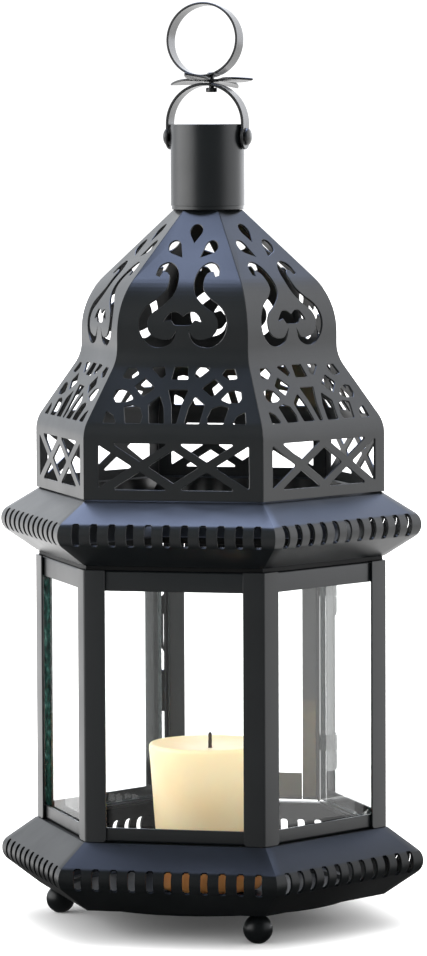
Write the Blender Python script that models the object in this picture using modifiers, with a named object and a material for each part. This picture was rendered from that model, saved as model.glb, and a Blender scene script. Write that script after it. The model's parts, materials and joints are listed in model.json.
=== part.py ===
"""Hexagonal pierced-metal candle lantern with a glazed body, a hinged door and a hanging ring.

Run with: blender --background --python part.py
Metres, +Z up. The origin is on the floor, under the middle of the lantern. Corner 0 lies on +X and the
corners go round anticlockwise every 60 degrees, so the door is on the +Y side and a plain face on -Y.
"""

from math import asin, atan2, cos, degrees, pi, radians, sin, sqrt, tan

import bmesh
import bpy
from mathutils import Matrix, Vector

MM = 0.001
SIDES = 6
GAP = 0.30 * MM  # between neighbouring pieces
SHEET = 0.80 * MM  # gauge of the folded steel sheet

# Glazed body
BODY_R = 63.9 * MM  # centre to corner
POST_BOTTOM = 34.8 * MM
POST_TOP = 129.3 * MM
POST_LEAF = 7.5 * MM
POST_DOOR_LIP = 0.9 * MM
RAIL_INSET = 1.1 * MM  # rails stand this far behind the face of the posts
RAIL_DEPTH = 3.4 * MM
RAIL_LENGTH = 58.3 * MM
TOP_RAIL_Z = (122.1 * MM, 129.2 * MM)
BOTTOM_RAIL_Z = (34.8 * MM, 39.6 * MM)
GLASS = 2.0 * MM
GLASS_INSET = 2.2 * MM
GLASS_WIDTH = 58.1 * MM
GLASS_Z = (35.9 * MM, 128.1 * MM)
EAVE_Z = (129.6 * MM, 130.4 * MM)
EAVE_R = (57.8 * MM, 62.6 * MM)

# Slotted strips: the cornice over the glass and the skirt under it (corner radii)
NOSE_R = 81.2 * MM
NOSE_ROUNDING = 5.0 * MM
CORNICE_TOP = (61.4 * MM, 154.0 * MM)
CORNICE_NOSE_Z = 142.2 * MM
CORNICE_BOTTOM = (63.3 * MM, 130.8 * MM)
SKIRT_LIP_R = 58.0 * MM
SKIRT_TOP = (64.3 * MM, 34.5 * MM)
SKIRT_NOSE_Z = 22.8 * MM
SKIRT_BOTTOM = (63.0 * MM, 10.4 * MM)
SLOTS_PER_SIDE = 11
SLOT_PITCH = 6.4 * MM
SLOT_WIDTH = 2.6 * MM
SLOT_HEIGHT = 7.9 * MM

# Base
PLATE_R = 61.8 * MM
PLATE_Z = 10.3 * MM
DISH_DROP = 1.3 * MM
DISH_R = (51.3 * MM, 52.9 * MM)  # round foot and mouth of the dish
FOOT_RADIUS = 5.15 * MM
FOOT_FLAT = 1.5 * MM
FOOT_STEM = 1.6 * MM
FOOT_CIRCLE = 55.5 * MM
FOOT_CORNERS = (1, 3, 5)

# Dome: corner radius and height at the bends, with the rounding of each bend
DOME_SHEET = 0.70 * MM
DOME_BENDS = ((63.4, 153.6), (63.4, 177.9), (46.4, 201.5), (46.4, 221.3), (12.4, 252.6))
DOME_ROUNDING = (11.0, 13.0, 26.0)
DOME_STEPS = (3, 3, 5)

# Neck, bail and ring
COLLAR_Z = (252.95 * MM, 253.65 * MM)
NECK_R = 13.05 * MM
NECK_Z = (253.95 * MM, 282.6 * MM)
BAIL_TURN = -5  # heading of the bail's right leg, in degrees
BAIL_PIVOT_Z = 278.2 * MM
BAIL_MID_R = 13.9 * MM
BAIL_ARCH_Z = 282.85 * MM
BAIL_SHEET = 1.0 * MM
BAIL_WIDTH = 7.0 * MM
BAIL_PAD_R = 4.5 * MM
RIVET_SHAFT = 1.5 * MM
RIVET_HOLE = 1.9 * MM
RIVET_HEAD = 3.1 * MM
SWIVEL_SHAFT = 0.9 * MM
SWIVEL_HOLE = 1.25 * MM
SWIVEL_X = 1.6 * MM  # the swivel sits a little off the arch's crown
FLOWER_Z = 297.7 * MM
FLOWER_SHEET = 0.8 * MM
PETAL_LENGTH = 17.3 * MM
PETAL_WIDTH = 7.6 * MM
# heading, tip lift, and sideways slope of each petal
PETALS = ((-20, 0.2 * MM, -0.16), (70, -2.6 * MM, 0.0), (160, -1.4 * MM, 0.16), (250, 2.3 * MM, 0.0))
RING_R = 13.2 * MM
RING_SHEET = 0.8 * MM
RING_WIDTH = 7.4 * MM
RING_BOTTOM = 299.3 * MM
RING_LEAN = radians(12)
RING_TILT = radians(4)
RING_TURN = -6  # degrees

# Candle
CANDLE_Z = (11.0 * MM, 63.0 * MM)
CANDLE_R = (18.0 * MM, 22.0 * MM)
WICK_R = 0.8 * MM
WICK_Z = (57.5 * MM, 66.6 * MM)

# Door, on the face between corners 1 and 2
DOOR_HALF = 29.2 * MM
DOOR_Z = (35.1 * MM, 129.2 * MM)
STILE = 7.0 * MM
DOOR_FLANGE = 3.9 * MM
DOOR_TOP_RAIL = 6.4 * MM
DOOR_BOTTOM_RAIL = 9.8 * MM
HINGE_OFFSET = 2.1 * MM  # hinge pin beyond the corner
HINGE_Z = (110.0 * MM, 53.2 * MM)
KNUCKLE_R = 1.7 * MM
KNUCKLE_BORE = 1.0 * MM
KNUCKLE_HEIGHT = 5.7 * MM
HINGE_SHEET = 0.6 * MM
HINGE_LEAF = {"door": 9.2 * MM, "post": 7.4 * MM}
PIN_R = 0.65 * MM
PIN_HEAD = 1.4 * MM
LATCH_PIVOT = (-27.4 * MM, 107.0 * MM)
LATCH_SHEET = 1.1 * MM
KEEPER_SIZE = (1.8 * MM, 2.2 * MM, 15.5 * MM)
KEEPER_AT = (-30.75 * MM, 74.0 * MM)

APOTHEM = BODY_R * cos(pi / SIDES)
HINGE_AXIS = (Vector((cos(radians(60)), sin(radians(60)), 0)) * (BODY_R + HINGE_OFFSET)).to_2d()


# ---------------------------------------------------------------- helpers


def clear_scene():
    for obj in list(bpy.data.objects):
        bpy.data.objects.remove(obj, do_unlink=True)


def new_collection(name):
    collection = bpy.data.collections.new(name)
    bpy.context.scene.collection.children.link(collection)
    return collection


def make_material(name, colour, roughness, metallic=0.0, alpha=1.0):
    material = bpy.data.materials.new(name)
    material.use_nodes = True
    shader = material.node_tree.nodes["Principled BSDF"]
    shader.inputs["Base Color"].default_value = (*colour, 1.0)
    shader.inputs["Roughness"].default_value = roughness
    shader.inputs["Metallic"].default_value = metallic
    shader.inputs["Alpha"].default_value = alpha
    return material


def add_part(name, mesh, material, parent=None, matrix=None):
    """Put a mesh in the lantern's collection as one named part."""
    obj = bpy.data.objects.new(name, mesh)
    if not mesh.materials:
        mesh.materials.append(material)
    LANTERN.objects.link(obj)
    if matrix is not None:
        obj.matrix_world = matrix
    obj.parent = parent
    if parent is not None:
        obj.matrix_parent_inverse = parent_matrix(parent).inverted()
    return obj


def parent_matrix(obj):
    return Matrix.Translation(obj.location)


def add_axis(name, location):
    """An empty on a joint's axis, which carries the moving pieces."""
    empty = bpy.data.objects.new(name, None)
    empty.location = location
    empty.empty_display_size = 10 * MM
    LANTERN.objects.link(empty)
    return empty


def add_cutter(name, mesh):
    obj = bpy.data.objects.new(name, mesh)
    CUTTERS.objects.link(obj)
    obj.hide_render = True
    obj.display_type = "WIRE"
    return obj


def cut(obj, cutter):
    modifier = obj.modifiers.new(cutter.name, "BOOLEAN")
    modifier.operation = "DIFFERENCE"
    modifier.object = cutter


def add_bevel(obj, width, segments=1):
    modifier = obj.modifiers.new("bevel", "BEVEL")
    modifier.width = width
    modifier.segments = segments
    modifier.limit_method = "ANGLE"


def rounded_path(tips, radii, steps):
    """A polyline through the tips, with an arc of the given radius at each inner one."""
    path = [Vector(tips[0])]
    for before, tip, after, radius, count in zip(tips, tips[1:-1], tips[2:], radii, steps):
        tip = Vector(tip)
        to_before = (Vector(before) - tip).normalized()
        to_after = (Vector(after) - tip).normalized()
        half = to_before.angle(to_after) / 2
        centre = tip + (to_before + to_after).normalized() * radius / sin(half)
        first = tip + to_before * radius / tan(half) - centre
        last = tip + to_after * radius / tan(half) - centre
        sweep = pi - 2 * half
        for k in range(count + 1):
            turned = sweep * k / count
            path.append(centre + (first * sin(sweep - turned) + last * sin(turned)) / sin(sweep))
    path.append(Vector(tips[-1]))
    return path


def thicken(path, thickness):
    """A closed loop round a strip: the path itself, then back along its right-hand side."""
    back = []
    for i, point in enumerate(path):
        before = path[max(i - 1, 0)]
        after = path[min(i + 1, len(path) - 1)]
        into = (point - before).normalized() if i else (after - point).normalized()
        out = (after - point).normalized() if i < len(path) - 1 else into
        along = (into + out).normalized()
        side = Vector((along.y, -along.x))
        back.append(point + side * thickness / max(along.dot(into), 0.5))
    return path + back[::-1]


def arc(centre, radius, start, end, steps):
    """Points on an arc, with the angles in degrees."""
    angles = [radians(start + (end - start) * k / steps) for k in range(steps + 1)]
    return [(centre[0] + radius * cos(a), centre[1] + radius * sin(a)) for a in angles]


def circle(centre, radius, steps):
    return arc(centre, radius, 0, 360, steps)[:-1]


def turned(name, profile, material, steps, closed=False, smooth=True):
    """A body turned about Z from a profile of (radius, height) that runs down its outer side."""
    mesh = bpy.data.meshes.new(name)
    count = len(profile)
    edges = [(i, (i + 1) % count) for i in range(count if closed else count - 1)]
    mesh.from_pydata([(r, 0, z) for r, z in profile], edges, [])
    obj = add_part(name, mesh, material)
    screw = obj.modifiers.new("turn", "SCREW")
    screw.steps = screw.render_steps = steps
    screw.use_merge_vertices = True
    screw.merge_threshold = 0.000005
    screw.use_smooth_shade = smooth
    return obj


def flat_sheet(name, outline, holes, thickness):
    """A flat plate in the XY plane with holes in it, centred on z = 0, as a welded mesh."""
    curve = bpy.data.curves.new(name, "CURVE")
    curve.dimensions = "2D"
    curve.fill_mode = "BOTH"
    curve.extrude = thickness / 2
    for loop in [outline, *holes]:
        spline = curve.splines.new("POLY")
        spline.points.add(len(loop) - 1)
        for point, (x, y) in zip(spline.points, loop):
            point.co = (x, y, 0, 1)
        spline.use_cyclic_u = True
    guide = bpy.data.objects.new(name, curve)
    CUTTERS.objects.link(guide)
    depsgraph = bpy.context.evaluated_depsgraph_get()
    mesh = bpy.data.meshes.new_from_object(guide.evaluated_get(depsgraph))
    mesh.name = name
    bpy.data.objects.remove(guide, do_unlink=True)
    bpy.data.curves.remove(curve)
    bm = bmesh.new()
    bm.from_mesh(mesh)
    bmesh.ops.remove_doubles(bm, verts=bm.verts, dist=0.000001)
    bmesh.ops.recalc_face_normals(bm, faces=bm.faces)
    bm.to_mesh(mesh)
    bm.free()
    return mesh


def bend(mesh, levels, axis, shape):
    """Cut the sheet across at each level of the given axis, then move its points by shape(x, y, z)."""
    bm = bmesh.new()
    bm.from_mesh(mesh)
    for level in levels:
        place = Vector((0, 0, 0))
        place[axis] = level
        normal = Vector((0, 0, 0))
        normal[axis] = 1
        geometry = [*bm.verts, *bm.edges, *bm.faces]
        bmesh.ops.bisect_plane(bm, geom=geometry, dist=0.00002, plane_co=place, plane_no=normal)
    for vert in bm.verts:
        vert.co = shape(*vert.co)
    bmesh.ops.triangulate(bm, faces=[f for f in bm.faces if len(f.verts) > 4])
    bm.to_mesh(mesh)
    bm.free()
    return mesh


def section_bar(name, section, length):
    """A straight bar along Y whose section lies in XZ: x is outwards and z is up."""
    mesh = flat_sheet(name, section, [], length)
    mesh.transform(Matrix(((1, 0, 0, 0), (0, 0, -1, 0), (0, 1, 0, 0), (0, 0, 0, 1))))
    return mesh


def upright_bar(name, section, bottom, top):
    """A bar standing on the XY section from one height to the other."""
    mesh = flat_sheet(name, section, [], top - bottom)
    mesh.transform(Matrix.Translation((0, 0, (bottom + top) / 2)))
    return mesh


def turn_z(angle):
    return Matrix.Rotation(radians(angle), 4, "Z")


def smooth(mesh, angle=35):
    mesh.shade_smooth()
    mesh.set_sharp_from_angle(angle=radians(angle))


# ---------------------------------------------------------------- pierced pattern of one dome panel


def mirrored(shape):
    return [(-u, z) for u, z in reversed(shape)]


def teardrop(tip, centre, radius, steps=6):
    """A round lobe drawn out to a point."""
    dx, dz = tip[0] - centre[0], tip[1] - centre[1]
    heading = degrees(atan2(dz, dx))
    spread = degrees(pi / 2 - asin(radius / sqrt(dx * dx + dz * dz)))
    return [tip, *arc(centre, radius, heading + spread, heading + 360 - spread, steps)]


def ribbon(spine, width, blunt=0.6):
    """The outline of a stroke along a spine: blunt at its start, pointed at its end."""
    left, right = [], []
    spine = [Vector(p) for p in spine]
    last = len(spine) - 1
    for i, point in enumerate(spine):
        along = (spine[min(i + 1, last)] - spine[max(i - 1, 0)]).normalized()
        half = width / 2 * (blunt if i == 0 else 1.0)
        side = Vector((-along.y, along.x)) * half
        if i == last:
            left.append(point)
        else:
            left.append(point + side)
            right.append(point - side)
    return [tuple(p) for p in left + right[::-1]]


SCROLL_SPINE = (
    (10.6, 230.2), (9.6, 232.6), (7.2, 233.1), (5.2, 231.4), (4.5, 228.2), (5.3, 224.6), (8.4, 221.4),
    (12.2, 218.6), (14.1, 215.0), (13.7, 211.0), (11.2, 208.0), (7.4, 207.1), (4.0, 208.2), (2.2, 211.4),
)
SCROLL_WIDTH = 3.1
MOUSTACHE_HALF = ((0, 216.5), (2.2, 217.9), (4.6, 217.7), (6.9, 214.6), (4.4, 215.2), (2.9, 213.6), (0, 213.4))
LATTICE_CELLS = (
    ((20.5, 180.2), (25.4, 180.2), (24.6, 184.3), (22.0, 182.9)),
    ((11.9, 180.2), (17.4, 180.2), (18.6, 185.7), (15.6, 186.3), (12.7, 185.3), (11.5, 182.5)),
    ((3.5, 180.2), (8.9, 180.2), (10.0, 186.5), (6.2, 189.4), (4.4, 185.4)),
    ((15.4, 188.3), (18.2, 187.2), (21.8, 187.2), (22.8, 188.7), (22.3, 191.0), (20.2, 191.5), (17.6, 190.8)),
    ((8.3, 192.0), (12.3, 189.1), (15.8, 192.4), (12.4, 195.2)),
    ((14.7, 196.6), (17.2, 194.9), (20.5, 195.3), (19.0, 198.6), (15.9, 198.5)),
    ((6.6, 195.3), (10.9, 198.9), (6.0, 199.2), (5.1, 196.3)),
)
CENTRE_CELLS = (
    ((-0.8, 180.2), (0.8, 180.2), (1.8, 186.6), (3.6, 191.5), (-3.6, 191.5), (-1.8, 186.6)),
    ((-3.0, 194.9), (3.0, 194.9), (2.3, 199.2), (-2.3, 199.2)),
)
WINDOW_HALF = 26.8
WINDOW_Z = (157.3, 173.3)
CROSS_AT = 11.9  # each cross from the middle of the window
STRUT_SLOPE = 0.62
STRUT_HALF = 1.5


def window_cells():
    """The openings between the two crosses that fill the window in the upright band."""
    middle = (WINDOW_Z[0] + WINDOW_Z[1]) / 2
    slant = sqrt(1 + STRUT_SLOPE**2)
    rise = STRUT_HALF * slant  # from a crossing to the point of the cell over it
    reach = rise / STRUT_SLOPE  # and to the point of the cell beside it
    over = (WINDOW_Z[1] - middle - rise) / STRUT_SLOPE
    beside = (WINDOW_HALF - CROSS_AT - reach) * STRUT_SLOPE
    inner = CROSS_AT - reach
    cells = [[(-inner, middle), (0, middle - inner * STRUT_SLOPE), (inner, middle), (0, middle + inner * STRUT_SLOPE)]]
    for side in (-1, 1):
        cross = side * CROSS_AT
        cells.append([(cross - over, WINDOW_Z[1]), (cross, middle + rise), (cross + over, WINDOW_Z[1])])
        cells.append([(cross - over, WINDOW_Z[0]), (cross, middle - rise), (cross + over, WINDOW_Z[0])])
        edge = side * WINDOW_HALF
        cells.append([(edge, middle - beside), (cross + side * reach, middle), (edge, middle + beside)])
    return cells


def panel_pattern():
    """Every hole of a panel, as outlines of (distance from the middle line, height) in millimetres."""
    scroll = ribbon(SCROLL_SPINE, SCROLL_WIDTH)
    moustache = [*MOUSTACHE_HALF, *mirrored(MOUSTACHE_HALF[1:-1])]
    lower_drop = teardrop((3.3, 236.5), (6.6, 240.0), 2.2)
    holes = [teardrop((0, 241.4), (0, 245.5), 2.2), moustache, *CENTRE_CELLS, *window_cells()]
    for shape in (lower_drop, scroll, *LATTICE_CELLS):
        holes += [shape, mirrored(shape)]
    return holes


# ---------------------------------------------------------------- the lantern's pieces


def dome_profile():
    return rounded_path(DOME_BENDS, DOME_ROUNDING, DOME_STEPS)


def dome_panel_mesh():
    """One bent, pierced panel whose middle line faces +X."""
    profile = dome_profile()
    narrow = GAP / 2 / cos(pi / SIDES) / MM
    right = [(radius * sin(pi / SIDES) - narrow, z) for radius, z in profile]
    outline = [(u * MM, z * MM) for u, z in right + mirrored(right)]
    holes = [[(u * MM, z * MM) for u, z in hole] for hole in panel_pattern()]
    mesh = flat_sheet("dome_panel", outline, holes, DOME_SHEET)
    apothems = [(radius * cos(pi / SIDES) * MM, z * MM) for radius, z in profile]

    def shape(u, z, t):
        for (a0, z0), (a1, z1) in zip(apothems, apothems[1:]):
            if z <= z1 + 1e-9:
                break
        apothem = a0 + (a1 - a0) * (z - z0) / (z1 - z0)
        inward = Vector((z0 - z1, a1 - a0)).normalized() * (DOME_SHEET / 2 - t)
        share = (apothem + inward.x) / apothem
        return Vector((apothem + inward.x, u * share, z + inward.y))

    return bend(mesh, [z for _, z in apothems[1:-1]], 1, shape)


def add_dome():
    mesh = dome_panel_mesh()
    for side in range(SIDES):
        add_part(f"dome_panel_{side + 1}", mesh, BLACK, matrix=turn_z(30 + 60 * side))


def add_slotted_strip(name, path, nose_z):
    """A folded strip that runs round the hexagon, with slots across its nose."""
    profile = thicken(path, SHEET)
    strip = turned(name, profile, BLACK, SIDES, closed=True, smooth=False)
    bm = bmesh.new()
    nose = NOSE_R * cos(pi / SIDES)
    depth = 17 * MM
    for side in range(SIDES):
        for slot in range(SLOTS_PER_SIDE):
            along = (slot - (SLOTS_PER_SIDE - 1) / 2) * SLOT_PITCH
            place = turn_z(30 + 60 * side) @ Matrix.Translation((nose, along, nose_z))
            size = Matrix.Diagonal((depth, SLOT_WIDTH, SLOT_HEIGHT, 1))
            bmesh.ops.create_cube(bm, size=1, matrix=place @ size)
    mesh = bpy.data.meshes.new(f"{name}_slots")
    bm.to_mesh(mesh)
    bm.free()
    cut(strip, add_cutter(f"{name}_slots", mesh))


def add_cornice():
    tips = (CORNICE_TOP, (NOSE_R, CORNICE_NOSE_Z), CORNICE_BOTTOM)
    add_slotted_strip("upper_cornice", rounded_path(tips, (NOSE_ROUNDING,), (4,)), CORNICE_NOSE_Z)
    inner, outer = EAVE_R
    bottom, top = EAVE_Z
    section = ((outer, top), (outer, bottom), (inner, bottom), (inner, top))
    turned("eave_plate", section, BLACK, SIDES, closed=True, smooth=False)


def add_base():
    tips = ((SKIRT_LIP_R, SKIRT_TOP[1]), SKIRT_TOP, (NOSE_R, SKIRT_NOSE_Z), SKIRT_BOTTOM)
    path = rounded_path(tips, (1 * MM, NOSE_ROUNDING), (1, 4))
    add_slotted_strip("base_skirt", path, SKIRT_NOSE_Z)
    add_part("base_plate", dished_plate_mesh(), BLACK)
    add_feet()


def dished_plate_mesh():
    """A hexagonal plate with a shallow round dish pressed down in it."""
    steps = 36
    foot, mouth = DISH_R
    top = PLATE_Z + SHEET
    slope = DISH_DROP / (mouth - foot)
    inset = SHEET * (sqrt(1 + slope**2) - 1) / slope
    rows = [(foot - inset, None, top - DISH_DROP), (mouth - inset, None, top), (None, PLATE_R, top),
            (None, PLATE_R, PLATE_Z), (mouth, None, PLATE_Z), (foot, None, PLATE_Z - DISH_DROP)]
    bm = bmesh.new()
    rings = []
    for circular, hexagonal, height in rows:
        ring = []
        for k in range(steps):
            angle = 2 * pi * k / steps
            to_face = angle % (pi / 3) - pi / 6
            reach = circular or hexagonal * cos(pi / SIDES) / cos(to_face)
            ring.append(bm.verts.new((reach * cos(angle), reach * sin(angle), height)))
        rings.append(ring)
    for upper, lower in zip(rings, rings[1:]):
        for k in range(steps):
            bm.faces.new((upper[k - 1], upper[k], lower[k], lower[k - 1]))
    bm.faces.new(rings[0])
    bm.faces.new(rings[-1])
    bmesh.ops.recalc_face_normals(bm, faces=bm.faces)
    mesh = bpy.data.meshes.new("base_plate")
    bm.to_mesh(mesh)
    bm.free()
    return mesh


def add_feet():
    centre = sqrt(FOOT_RADIUS**2 - FOOT_FLAT**2)
    stem_top = PLATE_Z - GAP
    low = degrees(asin(-centre / FOOT_RADIUS))
    high = degrees(asin(sqrt(FOOT_RADIUS**2 - FOOT_STEM**2) / FOOT_RADIUS))
    ball = arc((0, centre), FOOT_RADIUS, high, low, 9)
    profile = [(0, stem_top), (FOOT_STEM, stem_top), *ball, (0, 0)]
    for number, corner in enumerate(FOOT_CORNERS, 1):
        foot = turned(f"ball_foot_{number}", profile, BLACK, 16)
        foot.matrix_world = turn_z(60 * corner) @ Matrix.Translation((FOOT_CIRCLE, 0, 0))


def post_section(leaf_after, leaf_before):
    """Section of a bent angle strip at the corner on +X, with its two leaves along the faces."""
    corner = Vector((BODY_R, 0))
    inner = Vector((BODY_R - SHEET / cos(pi / SIDES), 0))
    after = Vector((cos(radians(120)), sin(radians(120))))
    before = Vector((after.x, -after.y))
    in_after = Vector((cos(radians(210)), sin(radians(210)))) * SHEET
    in_before = Vector((in_after.x, -in_after.y))
    end_after = corner + after * leaf_after
    end_before = corner + before * leaf_before
    return [corner, end_after, end_after + in_after, inner, end_before + in_before, end_before]


def add_posts():
    for corner in range(SIDES):
        after = POST_DOOR_LIP if corner == 1 else POST_LEAF
        before = POST_DOOR_LIP if corner == 2 else POST_LEAF
        mesh = upright_bar("corner_post", post_section(after, before), POST_BOTTOM, POST_TOP)
        add_part(f"corner_post_{corner + 1}", mesh, BLACK, matrix=turn_z(60 * corner))


def rail_section(low, high, lip_low):
    """L-section rail: a flat strip on the outside and a lip that runs in under or over the glass."""
    outer = APOTHEM - RAIL_INSET
    inner = outer - RAIL_DEPTH
    if lip_low:
        return [(outer, low), (outer, high), (outer - SHEET, high), (outer - SHEET, low + SHEET),
                (inner, low + SHEET), (inner, low)]
    return [(outer, low), (outer, high), (inner, high), (inner, high - SHEET),
            (outer - SHEET, high - SHEET), (outer - SHEET, low)]


def add_walls():
    """Rails and glass on the five faces that have no door."""
    top = section_bar("top_rail", rail_section(*TOP_RAIL_Z, lip_low=False), RAIL_LENGTH)
    bottom = section_bar("bottom_rail", rail_section(*BOTTOM_RAIL_Z, lip_low=True), RAIL_LENGTH)
    front = APOTHEM - GLASS_INSET
    pane = section_bar("glass_pane", [(front - GLASS, GLASS_Z[0]), (front, GLASS_Z[0]),
                                      (front, GLASS_Z[1]), (front - GLASS, GLASS_Z[1])], GLASS_WIDTH)
    for number, side in enumerate((0, 2, 3, 4, 5), 1):
        place = turn_z(30 + 60 * side)
        add_part(f"top_rail_{number}", top, BLACK, matrix=place)
        add_part(f"bottom_rail_{number}", bottom, BLACK, matrix=place)
        add_part(f"glass_pane_{number}", pane, CLEAR, matrix=place)


def add_neck():
    inner = NECK_R - SHEET
    low, high = COLLAR_Z
    ring = [(NECK_R - GAP, high), (NECK_R - GAP, low), (8 * MM, low), (8 * MM, high)]
    turned("dome_collar", ring, BLACK, 24, closed=True)
    low, high = NECK_Z
    tube = turned("neck_tube", [(NECK_R, high), (NECK_R, low), (inner, low), (inner, high)], BLACK, 32, closed=True)
    bm = bmesh.new()
    across = Matrix.Translation((0, 0, BAIL_PIVOT_Z)) @ turn_z(BAIL_TURN) @ Matrix.Rotation(pi / 2, 4, "Y")
    bmesh.ops.create_cone(bm, cap_ends=True, segments=12, radius1=RIVET_HOLE, radius2=RIVET_HOLE,
                          depth=4 * NECK_R, matrix=across)
    mesh = bpy.data.meshes.new("neck_drill")
    bm.to_mesh(mesh)
    bm.free()
    cut(tube, add_cutter("neck_drill", mesh))
    edge = inner - GAP
    crown = high - 0.2 * MM
    cap = [(0, crown), (6 * MM, crown - 0.2 * MM), (edge, crown - 1 * MM), (edge, crown - 1.8 * MM),
           (6 * MM, crown - 1 * MM), (0, crown - 0.8 * MM)]
    turned("neck_cap", cap, BLACK, 24)


def bail_shape(s, w, t):
    """Bend a strip that runs along X into an arch with straight ends."""
    quarter = BAIL_MID_R * pi / 2
    radius = BAIL_MID_R + t
    if abs(s) <= quarter:
        turn = s / BAIL_MID_R
        return Vector((radius * sin(turn), w, BAIL_ARCH_Z + radius * cos(turn)))
    side = 1 if s > 0 else -1
    return Vector((side * radius, w, BAIL_ARCH_Z - (abs(s) - quarter)))


def add_bail():
    quarter = BAIL_MID_R * pi / 2
    pivot = quarter + BAIL_ARCH_Z - BAIL_PIVOT_Z
    meet = degrees(asin(BAIL_WIDTH / 2 / BAIL_PAD_R))
    right = arc((pivot, 0), BAIL_PAD_R, meet - 180, 180 - meet, 10)
    outline = right + [(-s, -w) for s, w in right]
    holes = [circle((SWIVEL_X, 0), SWIVEL_HOLE, 10)]
    holes += [circle((side * pivot, 0), RIVET_HOLE, 10) for side in (-1, 1)]
    mesh = flat_sheet("bail", outline, holes, BAIL_SHEET)
    steps = 14
    mesh = bend(mesh, [quarter * (2 * k / steps - 1) for k in range(steps + 1)], 0, bail_shape)
    smooth(mesh)
    add_part("bail", mesh, BLACK, parent=BAIL_AXIS, matrix=turn_z(BAIL_TURN))
    for name, side in (("left", -1), ("right", 1)):
        add_bail_rivet(f"bail_rivet_{name}", side)


def add_bail_rivet(name, side):
    """A rivet across the neck's wall, with its round head outside the bail and a flat one inside the neck."""
    outside = BAIL_MID_R + BAIL_SHEET / 2 + GAP
    inside = (NECK_R - SHEET) * cos(asin(RIVET_HEAD / NECK_R)) - GAP
    dome = arc((0, outside), RIVET_HEAD, 0, 90, 4)
    dome = [(r, outside + (h - outside) * 0.5) for r, h in dome]
    profile = [*dome[::-1], (RIVET_SHAFT, outside), (RIVET_SHAFT, inside), (2.4 * MM, inside),
               (2.4 * MM, inside - 0.6 * MM), (0, inside - 0.6 * MM)]
    rivet = turned(name, profile, BLACK, 14)
    rivet.matrix_world = (Matrix.Translation((0, 0, BAIL_PIVOT_Z)) @ turn_z(BAIL_TURN)
                          @ Matrix.Rotation(side * pi / 2, 4, "Y"))


def petal(heading):
    """Outline of one pointed petal, from its root on the hub round its tip."""
    root, length, half = 3.2 * MM, PETAL_LENGTH, PETAL_WIDTH / 2
    edge = [(root, 1.7 * MM), (0.38 * length, 0.93 * half), (0.58 * length, half), (0.80 * length, 0.62 * half)]
    shape = [(x, -y) for x, y in edge] + [(length, 0)] + edge[::-1]
    turn = radians(heading)
    return [(x * cos(turn) - y * sin(turn), x * sin(turn) + y * cos(turn)) for x, y in shape]


def flower_shape(x, y, t):
    """Lift each petal's tip and slope it sideways by its own amounts."""
    out = sqrt(x * x + y * y)
    heading = degrees(atan2(y, x))
    middle, lift, slope = min(PETALS, key=lambda p: abs((heading - p[0] + 180) % 360 - 180))
    share = max(0.0, (out - 3 * MM) / (PETAL_LENGTH - 3 * MM))
    across = out * sin(radians(heading - middle))
    rise = lift * share**1.5 + slope * across * min(1.0, 3 * share)
    return Vector((x, y, FLOWER_Z + FLOWER_SHEET / 2 + t + rise))


def add_ring():
    outline = [point for heading, _, _ in PETALS for point in petal(heading)]
    mesh = flat_sheet("finial_flower", outline, [circle((0, 0), SWIVEL_HOLE, 10)], FLOWER_SHEET)
    crown = Matrix.Translation(turn_z(BAIL_TURN) @ Vector((SWIVEL_X, 0, 0)))
    add_part("finial_flower", bend(mesh, [], 0, flower_shape), BLACK, parent=RING_AXIS, matrix=crown)

    half, inner = RING_WIDTH / 2, RING_R - RING_SHEET
    band = [(RING_R, half), (RING_R, -half), (inner, -half), (inner, half)]
    ring = turned("hanging_ring", band, BLACK, 40, closed=True)
    lean = turn_z(RING_TURN) @ Matrix.Rotation(-RING_TILT, 4, "X") @ Matrix.Rotation(-RING_LEAN, 4, "Y")
    stand = lean @ Matrix.Translation((0, 0, RING_R))
    ring.matrix_world = (crown @ Matrix.Translation((0, 0, RING_BOTTOM)) @ stand
                         @ Matrix.Rotation(pi / 2, 4, "X"))
    bm = bmesh.new()
    bmesh.ops.create_cone(bm, cap_ends=True, segments=12, radius1=SWIVEL_HOLE, radius2=SWIVEL_HOLE,
                          depth=8 * MM, matrix=crown @ Matrix.Translation((0, 0, RING_BOTTOM)))
    drill = bpy.data.meshes.new("ring_drill")
    bm.to_mesh(drill)
    bm.free()
    cut(ring, add_cutter("ring_drill", drill))

    tail = 2.0 * MM
    under = BAIL_ARCH_Z + sqrt((BAIL_MID_R - BAIL_SHEET / 2)**2 - (SWIVEL_X + tail)**2) - GAP
    over = RING_BOTTOM + RING_SHEET + 0.65 * MM
    profile = [(0, over + 0.6 * MM), (1.1 * MM, over + 0.5 * MM), (1.6 * MM, over + 0.2 * MM), (1.6 * MM, over),
               (SWIVEL_SHAFT, over), (SWIVEL_SHAFT, under), (tail, under),
               (tail, under - 1.6 * MM), (0, under - 1.6 * MM)]
    rivet = turned("swivel_rivet", profile, BLACK, 14)
    rivet.parent = None
    rivet.matrix_world = crown


def add_candle():
    low, high = CANDLE_Z
    base, rim = CANDLE_R
    hole = WICK_R + GAP
    profile = [(hole, high - 1.9 * MM), (10 * MM, high - 1.8 * MM), (rim - 4 * MM, high - 1.0 * MM),
               (rim - 1.9 * MM, high - 0.1 * MM), (rim - 0.9 * MM, high), (rim - 0.1 * MM, high - 0.7 * MM),
               (rim, high - 2.0 * MM), (base + 0.3 * MM, low + 2 * MM), (base - 0.8 * MM, low), (0, low)]
    well = [(0, WICK_Z[0] - GAP), (hole, WICK_Z[0] - GAP)]
    turned("candle", well + profile, WAX, 28).parent = None
    low, high = WICK_Z
    wick = [(0, high), (0.6 * WICK_R, high - 0.1 * MM), (WICK_R, high - 0.6 * MM), (WICK_R, low), (0, low)]
    turned("wick", wick, CHAR, 10)


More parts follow.
